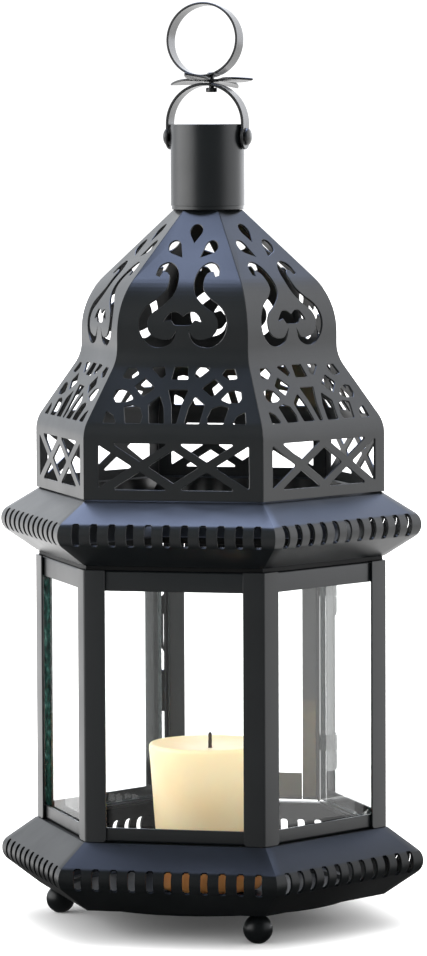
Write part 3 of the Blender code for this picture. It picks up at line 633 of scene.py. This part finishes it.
def strip_rows(tips, roundings, steps, nose_z):
    """Points down a strip's section, with one at each height where its slots start, end or turn a corner."""
    path = [p * MM for p in rounded_path(tips, roundings, steps)]
    half = SLOT_HEIGHT / 2
    levels = [nose_z + half, nose_z + half - SLOT_CORNER, nose_z - half + SLOT_CORNER, nose_z - half]
    rows = [path[0]]
    for a, b in zip(path, path[1:]):
        for level in levels:
            if a.y - 1e-7 > level > b.y + 1e-7:
                rows.append(a.lerp(b, (a.y - level) / (a.y - b.y)))
        rows.append(b)
    return rows, levels


def slotted_strip_mesh(name, tips, roundings, steps, nose_z):
    """A folded strip that runs round the hexagon, with slots across its nose, as an open surface."""
    rows, levels = strip_rows(tips, roundings, steps, nose_z)
    half_slot = SLOT_WIDTH / 2
    lines = []
    for slot in range(SLOTS_PER_SIDE):
        middle = (slot - (SLOTS_PER_SIDE - 1) / 2) * SLOT_PITCH
        lines += [middle - half_slot, middle - half_slot + SLOT_CORNER,
                  middle + half_slot - SLOT_CORNER, middle + half_slot]
    least = min(r.x for r in rows if levels[3] - 1e-6 <= r.y <= levels[0] + 1e-6) / 2
    bm = bmesh.new()
    grid = []
    for radius, height in rows:
        half = radius / 2
        squeeze = min(1.0, half / least)
        alongs = [-half, *(line * squeeze for line in lines)]
        apothem = radius * cos(HALF_SIDE)
        grid.append([bm.verts.new(side_place(side) @ Vector((apothem, along, height)))
                     for side in range(SIDES) for along in alongs])
    per_side = len(lines) + 1
    count = per_side * SIDES
    for upper, lower, top_row, low_row in zip(grid, grid[1:], rows, rows[1:]):
        middle = (top_row.y + low_row.y) / 2
        in_slot = levels[0] > middle > levels[3] and max(top_row.x, low_row.x) > SLOTTED_R
        in_end = in_slot and (middle > levels[1] or middle < levels[2])
        for k in range(count):
            a, d, c, b = upper[k], lower[k], lower[(k + 1) % count], upper[(k + 1) % count]
            # columns 0 and 2 of a slot hold its rounded corners, column 1 its middle, 3 the bar beside it
            column = (k % per_side - 1) % 4 if k % per_side else 3
            if not in_slot or column == 3:
                bm.faces.new((a, d, c, b))
            elif in_end and column != 1 and middle > levels[1]:
                bm.faces.new((a, d, b) if column == 0 else (a, c, b))
            elif in_end and column != 1:
                bm.faces.new((a, d, c) if column == 0 else (d, c, b))
    bmesh.ops.delete(bm, geom=[v for v in bm.verts if not v.link_faces], context="VERTS")
    mesh = bpy.data.meshes.new(name)
    bm.to_mesh(mesh)
    bm.free()
    return mesh


def add_slotted_strip(name, tips, roundings, steps, nose_z, paint):
    guide = bpy.data.objects.new(name, slotted_strip_mesh(name, tips, roundings, steps, nose_z))
    bpy.context.scene.collection.objects.link(guide)
    shell = guide.modifiers.new("gauge", "SOLIDIFY")
    shell.thickness = SHEET
    shell.offset = -1
    shell.use_even_offset = True
    bevel = guide.modifiers.new("bevel", "BEVEL")
    bevel.width = EDGE
    bevel.segments = 1
    bevel.limit_method = "ANGLE"
    bevel.angle_limit = radians(32)
    mesh = bpy.data.meshes.new_from_object(evaluated(guide))
    bpy.data.objects.remove(guide)
    piece(name, "skin", mesh, paint, angle=22)


def add_cornice(steel, shade):
    """The upper strip, and the plate that closes the gap between it and the posts, in a darker, duller paint
    that stands in for the shadow under the cornice (painted shadow).
    """
    add_slotted_strip("upper_cornice", CORNICE, (NOSE_ROUNDING,), (10,), CORNICE[1][1] * MM, steel)
    low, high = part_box("eave_plate")
    outer, inner, top, bottom = high.x, EAVE_INNER_R, high.z + 1.1 * MM, low.z - 0.35 * MM
    profile = [(outer, top - EDGE), (outer, bottom + EDGE), (outer - EDGE, bottom), (inner + EDGE, bottom),
               (inner, bottom + EDGE), (inner, top - EDGE), (inner + EDGE, top), (outer - EDGE, top)]
    piece("eave_plate", "skin", turned_mesh("eave_plate", profile, SIDES, True), shade)


def hexagon_reach(corner_radius, angle):
    """How far the hexagon with that corner radius reaches at an angle in radians."""
    return corner_radius * cos(HALF_SIDE) / cos(angle % (2 * HALF_SIDE) - HALF_SIDE)


def base_plate_mesh():
    """A hexagonal plate with a round dish for the candle's foot."""
    low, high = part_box("base_plate")
    rim, under = high.x, low.z + DISH_DROP
    top = under + SHEET
    foot, mouth = DISH_R
    wall = [(foot + (mouth - foot) * share, DISH_DROP * (1 - height)) for share, height in DISH_WALL]
    rows = [(r - 0.3 * MM, 0, top - fall) for r, fall in wall]
    rows += [(0, rim - EDGE, top), (0, rim, top - EDGE), (0, rim, under + EDGE), (0, rim - EDGE, under)]
    rows += [(r, 0, under - fall) for r, fall in wall[::-1]]
    bm = bmesh.new()
    rings = [[bm.verts.new((0, 0, top - DISH_DROP))]]
    for radius, corner_radius, height in rows:
        ring = []
        for k in range(DISH_STEPS):
            angle = 2 * pi * k / DISH_STEPS
            reach = radius or hexagon_reach(corner_radius, angle)
            ring.append(bm.verts.new((reach * cos(angle), reach * sin(angle), height)))
        rings.append(ring)
    rings.append([bm.verts.new((0, 0, low.z))])
    join_rings(bm, zip(rings, rings[1:]))
    return mesh_from(bm, "base_plate")


def add_base(paint):
    add_slotted_strip("base_skirt", SKIRT, (1.0, NOSE_ROUNDING), (3, 10), SKIRT[2][1] * MM, paint)
    piece("base_plate", "skin", base_plate_mesh(), paint)
    centre = sqrt(FOOT_RADIUS**2 - FOOT_FLAT**2)
    stem_angle = degrees(acos(FOOT_STEM / FOOT_RADIUS))
    flat_angle = -degrees(asin(centre / FOOT_RADIUS))
    for number in (1, 2, 3):
        low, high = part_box(f"ball_foot_{number}")
        ball = arc((0, centre), FOOT_RADIUS, stem_angle, flat_angle, 30)
        mesh = turned_mesh("ball_foot", [(0, high.z), (FOOT_STEM, high.z), *ball, (0, 0)], 48)
        place = Matrix.Translation(((low.x + high.x) / 2, (low.y + high.y) / 2, 0))
        piece(f"ball_foot_{number}", "skin", mesh, paint, matrix=place, angle=40)


# ---- posts, rails and glass


def add_posts(steel):
    """Bent angle strips with rounded lower corners; the door's side of two posts is only a narrow lip."""
    low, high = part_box("corner_post_1")
    corner = Vector((high.x, 0))
    for number in range(1, SIDES + 1):
        after = POST_DOOR_LIP if number == 2 else POST_LEAF
        before = POST_DOOR_LIP if number == 3 else POST_LEAF
        # the path is the middle of the sheet, half a gauge inside the face
        tips = [corner + corner_point(before, -120) + corner_point(SHEET / 2, 150),
                corner - Vector((SHEET / 2 / cos(HALF_SIDE), 0)),
                corner + corner_point(after, 120) + corner_point(SHEET / 2, 210)]
        path = rounded_path(tips, (POST_FOLD,), (5,))
        length = path_length(path)
        bottom, top = (1.3 * MM if before == after else 0.25 * MM), 0.3 * MM
        foot = low.z - REACH_DOWN + bottom
        shoulder = high.z - top
        outline = [*arc((bottom, foot), bottom, 180, 270, 5),
                   *arc((length - bottom, foot), bottom, 270, 360, 5),
                   *arc((length - top, shoulder), top, 0, 90, 2), *arc((top, shoulder), top, 90, 180, 2)]
        mesh = folded("corner_post", outline, path)
        piece(f"corner_post_{number}", "skin", mesh, steel, matrix=turn_z(60 * (number - 1)), angle=20)


def rail_mesh(name, tips, length):
    """An L-section rail along Y, its section path in (outwards, up)."""
    mesh = folded_strip(name, rounded_path(tips, (RAIL_FOLD,), (4,)), -length / 2, length / 2)
    mesh.transform(SWAP_YZ)
    mesh.flip_normals()
    return mesh


def chipped_pane_mesh(name, low, high, seed, chips, materials):
    """A pane in the YZ plane, as large as its box, whose upright edges are nibbled and rough.

    Its faces take the first material and its edges the second.
    """
    width, thickness, height = high.x - low.x, high.y - low.y, high.z - low.z
    steps = 150
    bm = bmesh.new()
    columns = []
    for side in (-1, 1):
        for layer in (1, -1):
            column = []
            for k in range(steps + 1):
                z = low.z + height * k / steps
                rough = noise.fractal(Vector((z * 900, side * 7 + layer * 1.7, seed)), 0.8, 2.0, 3)
                chip = max(0.0, noise.noise(Vector((z * 260, side * 3 + layer, seed + 9)))) ** 2 * chips
                nibble = max(0.0, 0.10 + 0.10 * rough + chip) * MM
                column.append(bm.verts.new((layer * thickness / 2, side * (width / 2 - nibble), z)))
            columns.append(column)
    left_front, left_back, right_front, right_back = columns
    for a, b, material in ((left_front, right_front, 0), (right_back, left_back, 0),
                           (right_front, right_back, 1), (left_back, left_front, 1)):
        for k in range(steps):
            bm.faces.new((a[k], b[k], b[k + 1], a[k + 1])).material_index = material
    for k in (0, steps):
        end = [column[k] for column in (left_front, right_front, right_back, left_back)]
        bm.faces.new(end).material_index = 1
    mesh = mesh_from(bm, name)
    for material in materials:
        mesh.materials.append(material)
    return mesh


def add_walls(steel, glass, edge, dull_edge):
    """Rails and glass on the five faces that have no door."""
    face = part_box("corner_post_1")[1].x * cos(HALF_SIDE)
    outer = face - RAIL_INSET - SHEET / 2
    inner = face - RAIL_INSET - RAIL_DEPTH
    low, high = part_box("top_rail_4")
    length, ledge = high.x - low.x, high.z - SHEET / 2
    top = rail_mesh("top_rail", [(outer, low.z), (outer, ledge), (inner, ledge)], length)
    low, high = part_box("bottom_rail_4")
    ledge = low.z - REACH_DOWN + SHEET / 2
    bottom = rail_mesh("bottom_rail", [(inner, ledge), (outer, ledge), (outer, high.z)], length)
    low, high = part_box("glass_pane_4")
    inset = Matrix.Translation((face - GLASS_INSET - (high.y - low.y) / 2, 0, 0))
    for number, side in enumerate((0, 2, 3, 4, 5), 1):
        place = side_place(side)
        piece(f"top_rail_{number}", "skin", top, steel, matrix=place)
        piece(f"bottom_rail_{number}", "skin", bottom, steel, matrix=place)
        chips, rim = (1.6, edge) if side in ROUGH_SIDES else (0.3, dull_edge)
        pane = chipped_pane_mesh("glass_pane", low, high, side, chips, (glass, rim))
        piece(f"glass_pane_{number}", "clear", pane, glass, matrix=place @ inset)


# ---- neck, bail, flower and ring


def open_circle(radius, start, gap, steps=96):
    """A path round a circle from an angle in radians, with a seam where its ends almost meet."""
    seam = gap / radius
    sweep = 2 * pi - 2 * seam
    turns = [start + seam + sweep * k / steps for k in range(steps + 1)]
    return [Vector((cos(turn), sin(turn))) * radius for turn in turns]


def add_neck(steel):
    """A seamed tube with holes for the bail's rivets, the cap in its top and the collar under it."""
    low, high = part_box("neck_tube")
    path = open_circle(high.x - SHEET / 2, pi / 2, 0.09 * MM)
    length = path_length(path)
    holes = [circle((length * ((BAIL_TURN + turn - 90) % 360) / 360, rivet_height()), RIVET_HOLE, 24)
             for turn in (0, 180)]
    piece("neck_tube", "skin", folded_strip("neck_tube", path, low.z, high.z, holes=holes), steel, angle=20)

    low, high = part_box("neck_cap")
    rim = high.x / MM
    cap = ((0, 0), (3, 0.06), (6, 0.2), (9, 0.5), (rim - 0.8, 0.72), (rim, 1.1), (rim, 1.8), (6, 1),
           (0, 0.8))
    profile = [(r * MM, high.z - fall * MM) for r, fall in cap]
    piece("neck_cap", "skin", turned_mesh("neck_cap", profile, 64), steel)

    low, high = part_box("dome_collar")
    rim, bore = high.x, 8 * MM
    top, bottom = high.z + 0.3 * MM, low.z - 0.3 * MM
    collar = [(rim, top), (rim, bottom + EDGE), (rim - EDGE, bottom), (bore, bottom), (bore, top)]
    piece("dome_collar", "skin", turned_mesh("dome_collar", collar, 64, True), steel)


def rivet_height():
    low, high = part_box("bail_rivet_right")
    return (low.z + high.z) / 2


def bail_shape(s, w, t):
    """Bend a strip that runs along X into an arch with straight ends."""
    quarter = BAIL_MID_R * pi / 2
    radius = BAIL_MID_R + t
    if abs(s) <= quarter:
        turn = s / BAIL_MID_R
        return Vector((radius * sin(turn), w, BAIL_ARCH_Z + radius * cos(turn)))
    side = 1 if s > 0 else -1
    return Vector((side * radius, w, BAIL_ARCH_Z - (abs(s) - quarter)))


def add_bail(fittings):
    """The strap, which widens to a round eye at each end, and its two rivets."""
    quarter = BAIL_MID_R * pi / 2
    pivot = quarter + BAIL_ARCH_Z - rivet_height()
    meet = degrees(asin(BAIL_WIDTH / 2 / BAIL_PAD_R))
    right = arc((pivot, 0), BAIL_PAD_R, meet - 180, 180 - meet, 30)
    holes = [circle((x, 0), radius, 20)
             for x, radius in ((SWIVEL_X, SWIVEL_HOLE), (-pivot, RIVET_HOLE), (pivot, RIVET_HOLE))]
    mesh = flat_sheet("bail", right + [(-s, -w) for s, w in right], holes, BAIL_SHEET, THICK_EDGE)
    cuts = [(ALONG_X, quarter * (2 * k / BAIL_STEPS - 1)) for k in range(BAIL_STEPS + 1)]
    mesh = bend(mesh, cuts, bail_shape)
    piece("bail", "strap", mesh, fittings, "bail", turn_z(BAIL_TURN), 20)
    for name, side in (("bail_rivet_left", -1), ("bail_rivet_right", 1)):
        add_bail_rivet(name, side, fittings)


def add_bail_rivet(name, side, fittings):
    """A rivet on the X axis with its round head outside the bail and a flat one inside the neck."""
    outside = BAIL_MID_R + BAIL_SHEET / 2 + 0.3 * MM
    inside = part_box("neck_tube")[1].x - SHEET - 0.7 * MM
    foot, foot_r = inside - 0.6 * MM, 2.4 * MM
    head = [(r, outside + h / 2) for r, h in arc((0, 0), RIVET_HEAD, 90, 0, 10)]
    shaft = [(RIVET_SHAFT, outside), (RIVET_SHAFT, inside)]
    profile = [*head, *shaft, (foot_r, inside), (foot_r, foot), (0, foot)]
    level = Matrix.Translation((0, 0, rivet_height())) @ turn_z(BAIL_TURN)
    place = level @ Matrix.Rotation(side * pi / 2, 4, "Y")
    mesh = turned_mesh(name, profile, 32)
    piece(name, "head", mesh, fittings, matrix=place, angle=35)


def petal(heading):
    """Outline of one pointed petal, from its root on the hub round its tip."""
    root = (3.2 * MM / PETAL_LENGTH, 3.4 * MM / PETAL_WIDTH)
    edge = [root, (0.27, 0.62), (0.38, 0.90), (0.50, 1.0), (0.60, 0.99), (0.72, 0.82), (0.84, 0.54),
            (0.93, 0.28)]
    edge = smooth_spine([(along * PETAL_LENGTH, out * PETAL_WIDTH / 2) for along, out in edge], 2)
    shape = [(x, -y) for x, y in edge] + [(PETAL_LENGTH, 0)] + [(x, y) for x, y in edge[::-1]]
    turn = radians(heading)
    return [(x * cos(turn) - y * sin(turn), x * sin(turn) + y * cos(turn)) for x, y in shape]


def flower_shape(x, y, t):
    """Lift each petal's tip and slope it sideways by its own amounts."""
    out = hypot(x, y)
    heading = degrees(atan2(y, x))
    middle, lift, slope = min(PETALS, key=lambda p: abs((heading - p[0] + 180) % 360 - 180))
    share = max(0.0, (out - PETAL_ROOT) / (PETAL_LENGTH - PETAL_ROOT))
    across = out * sin(radians(heading - middle))
    rise = lift * share**1.5 + slope * across * min(1.0, 3 * share)
    return Vector((x, y, FLOWER_Z + FLOWER_SHEET / 2 + t + rise))


def add_flower(fittings, crown):
    """A sheet of four petals, cut into rays and squares so that it can curve."""
    outline = [point for heading, _, _ in PETALS for point in petal(heading)]
    mesh = flat_sheet("finial_flower", outline, [circle((0, 0), SWIVEL_HOLE, 20)], FLOWER_SHEET, THICK_EDGE)
    cuts = [((*corner_point(1, angle + 90), 0), 0) for angle in range(0, 180, 15)]
    cuts += [(normal, level * MM) for normal in (ALONG_X, ALONG_Y) for level in range(-15, 16, 3)]
    mesh = bend(mesh, cuts, flower_shape, 0.000005)
    piece("finial_flower", "petals", mesh, fittings, "ring", crown, 20)


def add_ring(fittings):
    """The flower, the hanging ring and the rivet that holds both on the crown of the bail."""
    crown = Matrix.Translation(turn_z(BAIL_TURN) @ Vector((SWIVEL_X, 0, 0)))
    add_flower(fittings, crown)
    path = open_circle(RING_R - RING_SHEET / 2, RING_SEAM_AT, 0.05 * MM)
    foot = path_length(path) * (1.5 * pi + 2 * pi - RING_SEAM_AT) / (2 * pi)
    hole = circle((foot, 0), SWIVEL_HOLE, 20)
    mesh = folded_strip("hanging_ring", path, -RING_WIDTH / 2, RING_WIDTH / 2, holes=[hole],
                        thickness=RING_SHEET, chamfer=0.22 * MM)
    lean = turn_z(RING_TURN) @ Matrix.Rotation(-RING_TILT, 4, "X") @ Matrix.Rotation(-RING_LEAN, 4, "Y")
    place = crown @ Matrix.Translation((0, 0, RING_BOTTOM)) @ lean @ Matrix.Translation((0, 0, RING_R))
    mesh.transform(place @ STAND_UP)
    piece("hanging_ring", "band", mesh, fittings, "ring", angle=20)
    add_swivel_rivet(fittings, crown)


def add_swivel_rivet(fittings, crown):
    """A rivet with a low head in the ring, a washer under the flower and a stub under the bail."""
    low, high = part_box("swivel_rivet")
    over, over_r, head = high.z - 0.9 * MM, 1.7 * MM, 0.45 * MM
    washer, washer_r = FLOWER_Z - 0.05 * MM, 2.6 * MM
    bail_top = BAIL_ARCH_Z + BAIL_MID_R + BAIL_SHEET / 2 + 0.1 * MM
    under, stub_r = low.z + 1.6 * MM, 2.0 * MM
    profile = [*((over_r * x, over + head * y) for x, y in arc((0, 0), 1, 90, 0, 9)),
               (SWIVEL_SHAFT, over), (SWIVEL_SHAFT, washer), (washer_r, washer), (washer_r, bail_top),
               (SWIVEL_SHAFT, bail_top), (SWIVEL_SHAFT, under), (stub_r - 0.25 * MM, under),
               (stub_r, under - 0.25 * MM), (stub_r, low.z + 0.2 * MM), (stub_r - 0.2 * MM, low.z),
               (0, low.z)]
    mesh = turned_mesh("swivel_rivet", profile, 32)
    piece("swivel_rivet", "head", mesh, fittings, "ring", crown, 35)


# ---- door and latch


def add_door(steel, glass, edge):
    """Two stiles folded back at their outer side, two flat rails and the pane."""
    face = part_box("corner_post_1")[1].x * cos(HALF_SIDE)
    half = SHEET / 2
    for name, side in (("door_stile_latch", -1), ("door_stile_hinge", 1)):
        low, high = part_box(name)
        inner, outer = sorted((abs(low.x), abs(high.x)))
        tips = [(inner, face - half), (outer - half, face - half), (outer - half, low.y)]
        mesh = folded_strip("door_stile", rounded_path(tips, (RAIL_FOLD,), (4,)), low.z, high.z)
        if side < 0:
            mesh.transform(Matrix.Diagonal((-1, 1, 1, 1)))
            mesh.flip_normals()
        piece(name, "skin", mesh, steel, "door")
    for name in ("door_rail_top", "door_rail_bottom"):
        low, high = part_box(name)
        mesh = flat_sheet(name, rectangle(low.x, low.z, high.x, high.z))
        mesh.transform(Matrix.Translation((0, (low.y + high.y) / 2, 0)) @ STAND_UP)
        piece(name, "skin", mesh, steel, "door")
    low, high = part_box("door_glass")
    pane = chipped_pane_mesh("door_glass", low, high, 41, 0.3, (glass, edge))
    place = turn_z(90) @ Matrix.Translation(((low.y + high.y) / 2, 0, 0))
    piece("door_glass", "clear", pane, glass, "door", place)


def hook_outline():
    """The hook's outline in (x, z): an eye on the stud, an arm that drops past it, and a hooked tip."""
    x, z = LATCH_PIVOT
    left, right, foot = -31.6 * MM, -30.5 * MM, 102.4 * MM
    outer = ((-31.57, 97), (-31.54, 93), (-31.1, 89.9), (-29.9, 88.2), (-28.2, 87.4))
    inner = ((-27.9, 88.3), (-29.3, 89.1), (-30.2, 90.5), (-30.5, 93), (-30.5, 97))
    tip = [tuple(p * MM) for edge in (outer, inner) for p in smooth_spine(edge, 4)]
    return [(left, foot), *tip, (right, foot), (x + 1.2 * MM, foot), *arc((x, z), LATCH_EYE_R, -60, 90, 12),
            (left + 1.5 * MM, z + LATCH_EYE_R), (left, z + 1.6 * MM)]


def add_latch(fittings):
    """The hook that crosses the gap beside the door, its stud, and the keeper on the post."""
    x, z = LATCH_PIVOT
    low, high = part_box("latch_hook")
    eye = circle((-x, z), 1.3 * MM, 20)
    mesh = flat_sheet("latch_hook", mirrored(hook_outline()), [eye], high.y - low.y, THICK_EDGE)
    middle = Matrix.Translation((0, (low.y + high.y) / 2, 0))
    mesh.transform(middle @ Matrix.Diagonal((-1, 1, 1, 1)) @ SWAP_YZ)
    piece("latch_hook", "plate", mesh, fittings, "latch")

    low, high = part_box("latch_stud")
    head = ((0, 0), (0.8, 0.04), (1.4, 0.16), (1.9, 0.4), (2.1, 0.65), (2.1, 0.8), (1.0, 0.8))
    profile = [(r * MM, high.y - fall * MM) for r, fall in head] + [(1.0 * MM, low.y), (0, low.y)]
    place = Matrix.Translation((x, 0, z)) @ Matrix.Rotation(-pi / 2, 4, "X")
    mesh = turned_mesh("latch_stud", profile, 32)
    piece("latch_stud", "head", mesh, fittings, "door", matrix=place, angle=35)

    low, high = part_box("latch_keeper")
    bm = bmesh.new()
    block = Matrix.Translation((low + high) / 2) @ Matrix.Diagonal((*(high - low), 1))
    bmesh.ops.create_cube(bm, size=1, matrix=block)
    bmesh.ops.bevel(bm, geom=bm.edges, offset=0.7 * MM, segments=5, profile=0.5, affect="EDGES")
    piece("latch_keeper", "block", mesh_from(bm, "latch_keeper"), fittings, angle=40)


def dress_hinges(steel):
    """The hinges keep their CAD shape and take the paint."""
    for place in ("upper", "lower"):
        for name in (f"hinge_leaf_door_{place}", f"hinge_leaf_post_{place}", f"hinge_pin_{place}"):
            frame["nodes"][name].data.materials.clear()
            frame["nodes"][name].data.materials.append(steel)


# ---- candle


def candle_profile(low, high, hole_bottom):
    """From the wick's hole over the melt pool and the rounded rim, down the tapered side to the foot."""
    base, rim, top = CANDLE_FOOT_R, high.x, high.z
    pool = [(r * MM, top - fall * MM) for r, fall in MELT_POOL]
    rounding = [(21.5 * MM, top - 0.18 * MM), (rim - 0.1 * MM, top - 0.7 * MM), (rim, top - 1.6 * MM)]
    side_foot = Vector((base + 0.3 * MM, low.z + 2.0 * MM))
    shares = [k / CANDLE_SIDE_STEPS for k in range(1, CANDLE_SIDE_STEPS)]
    side = [tuple(Vector(rounding[-1]).lerp(side_foot, share)) for share in shares]
    foot = [(base + 0.25 * MM, low.z + 1.6 * MM), (base, low.z + 0.5 * MM), (base - 0.6 * MM, low.z),
            (0, low.z)]
    return [(0, hole_bottom), (pool[0][0], hole_bottom), *pool, *rounding, *side, *foot]


def add_candle(wax, char):
    """A tapered votive with a rounded rim, a shallow melt pool and slightly uneven sides."""
    low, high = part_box("candle")
    mesh = turned_mesh("candle", candle_profile(low, high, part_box("wick")[0].z - 0.3 * MM), 96)
    for vert in mesh.vertices:
        x, y, z = vert.co
        out = hypot(x, y)
        if out > 8 * MM and z > low.z + 1 * MM:
            lump = noise.noise(Vector((x * 70, y * 70, z * 45)))
            sink = 0.144 * MM * (1 + lump)
            vert.co.x -= x / out * sink
            vert.co.y -= y / out * sink
            if z > high.z - 2.5 * MM:
                vert.co.z -= 0.12 * MM * (1 + noise.noise(Vector((x * 120, y * 120, 3.0))))
    piece("candle", "wax", mesh, wax, "candle", angle=60)
    add_wick(char)


def add_wick(char):
    """A charred cord with a blunt tip and twisted, rough strands."""
    low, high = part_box("wick")
    length = high.z - low.z
    sides = [(WICK_R * min(1, 0.45 + k / 3), high.z - length * k / WICK_STEPS)
             for k in range(WICK_STEPS + 1)]
    mesh = turned_mesh("wick", [(0, high.z), *sides, (0, low.z)], 16)
    for vert in mesh.vertices:
        x, y, z = vert.co
        twist = 0.94 + 0.05 * sin(atan2(y, x) * 2 + z * 2600)
        if hypot(x, y) > 0.1 * MM:
            twist *= 1 - 0.14 * (1 + noise.noise(Vector((x * 2500, y * 2500, z * 900))))
        vert.co.x, vert.co.y = x * twist, y * twist
    piece("wick", "cord", mesh, char, "candle", angle=60)


# ---- light, floor and camera


def around(azimuth, elevation):
    """A direction by its angle from +X and its height above the horizon, in degrees."""
    flat = cos(radians(elevation))
    return (flat * cos(radians(azimuth)), flat * sin(radians(azimuth)), sin(radians(elevation)))


def add_lobe(tree, direction, inner, outer, colour):
    """A soft patch of light round a direction, full within the inner angle and gone at the outer one."""
    ray = add_node(tree, "TexCoord", "Generated")
    axis = Vector(direction).normalized()
    dot = add_node(tree, "VectorMath", "Value", {0: ray, 1: axis}, operation="DOT_PRODUCT")
    fade = add_fade(tree, dot, cos(radians(outer)), cos(radians(inner)))
    return add_node(tree, "VectorMath", "Vector", {0: colour, "Scale": fade}, operation="SCALE")


def add_scaled(tree, value, scale, offset):
    """A number times a scale, plus an offset."""
    return add_node(tree, "Math", "Value", {0: value, 1: scale, 2: offset}, operation="MULTIPLY_ADD")


def make_world():
    """A white studio: windows on the left, a bluish panel overhead and fill on the right.

    Gloss sees the windows and panels, matt surfaces a grey blend of them, and the camera plain white.
    """
    world = bpy.data.worlds.new("studio")
    bpy.context.scene.world = world
    world.use_nodes = True
    tree = world.node_tree
    tree.nodes.clear()
    total, *others = [add_lobe(tree, *lobe) for lobe in (
        (around(-155, 12), 10, 46, (5.4, 5.4, 5.4)),  # window, front left
        (around(140, 10), 22, 52, (1.3, 1.32, 1.36)),  # window, back left
        (around(18, 8), 22, 56, (2.0, 2.0, 2.05)),  # right
        (around(79, 4), 14, 40, (2.3, 2.32, 2.4)),  # behind
        (around(95, 74), 14, 42, (4.2, 5.1, 7.8)),  # overhead
    )]
    for lobe in others:
        total = add_node(tree, "VectorMath", "Vector", {0: total, 1: lobe})
    lifted = add_node(tree, "VectorMath", "Vector", {0: total, 1: (0.05, 0.08, 0.10)})
    studio = add_node(tree, "Background", "Background", {"Color": lifted})
    grey = add_node(tree, "RGBToBW", "Val", {"Color": total})
    soft = add_node(tree, "Background", "Background", {"Color": add_scaled(tree, grey, 0.55, 1.42)})
    white = add_node(tree, "Background", "Background", {"Color": (1, 1, 1, 1), "Strength": 1.25})
    light = mix_shaders(tree, add_node(tree, "LightPath", "Is Glossy Ray"), soft, studio)
    seen = mix_shaders(tree, add_node(tree, "LightPath", "Is Camera Ray"), light, white)
    set_inputs(tree, tree.nodes.new("ShaderNodeOutputWorld"), {"Surface": seen})


def add_floor():
    """A pale floor that glows for gloss rays alone, as a painted reflection: bright behind the lantern, dim
    on the camera side and close under it.
    """
    material, tree, shader = new_material("pale_floor")
    set_inputs(tree, shader, {"Base Color": (0.88, 0.88, 0.88, 1), "Roughness": 0.9,
                              "Specular IOR Level": 0.0})
    # painted reflection: an emission only gloss rays see, dimmed towards the camera and near the lantern
    place = add_node(tree, "TexCoord", "Object")
    heading = add_node(tree, "VectorMath", "Vector", {0: place}, operation="NORMALIZE")
    front = add_node(tree, "VectorMath", "Value", {0: heading, 1: around(-77, 0)}, operation="DOT_PRODUCT")
    stops = ((0.0, 0.95), (0.5, 0.85), (0.82, 0.30), (1.0, 0.20))
    shade = add_ramp(tree, add_scaled(tree, front, 0.5, 0.5), stops, "EASE")
    reach = add_node(tree, "VectorMath", "Value", {0: place}, operation="LENGTH")
    near = add_fade(tree, reach, 0.09, 0.22, 0.12, 1.9)
    reflection_glow = add_node(tree, "Emission", "Emission", {"Color": shade, "Strength": near})
    glossy = add_node(tree, "LightPath", "Is Glossy Ray")
    surface = mix_shaders(tree, glossy, shader.outputs["BSDF"], reflection_glow)
    set_inputs(tree, tree.nodes["Material Output"], {"Surface": surface})
    mesh = bpy.data.meshes.new("floor")
    corners = [(x, y, 0) for x, y in rectangle(-FLOOR_HALF, -FLOOR_HALF, FLOOR_HALF, FLOOR_HALF)]
    mesh.from_pydata(corners, [], [(0, 1, 2, 3)])
    mesh.materials.append(material)
    floor = bpy.data.objects.new("floor", mesh)
    bpy.context.scene.collection.objects.link(floor)


def add_camera():
    data = bpy.data.cameras.new("camera")
    data.lens = CAMERA_LENS
    data.sensor_width = 36
    data.clip_start, data.clip_end = 0.05, 50
    camera = bpy.data.objects.new("camera", data)
    tilt = Matrix.Rotation(radians(CAMERA_PITCH), 4, "X") @ Matrix.Rotation(radians(CAMERA_ROLL), 4, "Z")
    camera.matrix_world = Matrix.Translation(CAMERA_AT) @ turn_z(CAMERA_HEADING) @ tilt
    bpy.context.scene.collection.objects.link(camera)
    bpy.context.scene.camera = camera


def set_colour():
    scene = bpy.context.scene
    scene.view_settings.view_transform = "Standard"
    scene.view_settings.look = "None"
    scene.cycles.transparent_max_bounces = 32
    scene.cycles.max_bounces = 12


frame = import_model()

steel_paint = make_powder_coat("satin_black_steel", (0.0020, 0.0029, 0.0035), (0.0036, 0.0046, 0.0052), 0.31)
# painted shade: the base's copy of the black paint mirrors less, standing in for the cornice keeping the
# overhead light off the skirt
base_paint = make_powder_coat(
    "satin_black_base_shaded", (0.0024, 0.0031, 0.0034), (0.0040, 0.0046, 0.0050), 0.33, 0.18)
# painted shadow: a darker, duller copy of the black paint for the eave plate, standing in for the shadow
# under the cornice
eave_shadow_paint = make_powder_coat(
    "eave_painted_shadow", (0.0010, 0.0012, 0.0014), (0.0018, 0.0020, 0.0022), 0.5, 0.12)
fittings_paint = make_powder_coat(
    "satin_black_fittings", (0.0026, 0.0030, 0.0032), (0.0050, 0.0056, 0.0058), 0.30)
glass_clear = make_glass()
glass_edge = make_glass_edge("green_glass_edge", (
    (0.40, (0.002, 0.022, 0.018)), (0.54, (0.010, 0.085, 0.068)),
    (0.66, (0.10, 0.30, 0.25)), (0.78, (0.50, 0.74, 0.68))))
dull_edge = make_glass_edge("grey_glass_edge", (
    (0.36, (0.012, 0.020, 0.020)), (0.60, (0.035, 0.052, 0.052)), (0.80, (0.16, 0.21, 0.21))))
wax = make_wax()
char = make_wick()

add_base(base_paint)
add_posts(steel_paint)
add_walls(steel_paint, glass_clear, glass_edge, dull_edge)
add_cornice(steel_paint, eave_shadow_paint)
add_dome(steel_paint)
add_neck(steel_paint)
add_bail(fittings_paint)
add_ring(fittings_paint)
add_door(steel_paint, glass_clear, dull_edge)
add_latch(fittings_paint)
add_candle(wax, char)
dress_hinges(steel_paint)
add_floor()
make_world()
add_camera()
set_colour()
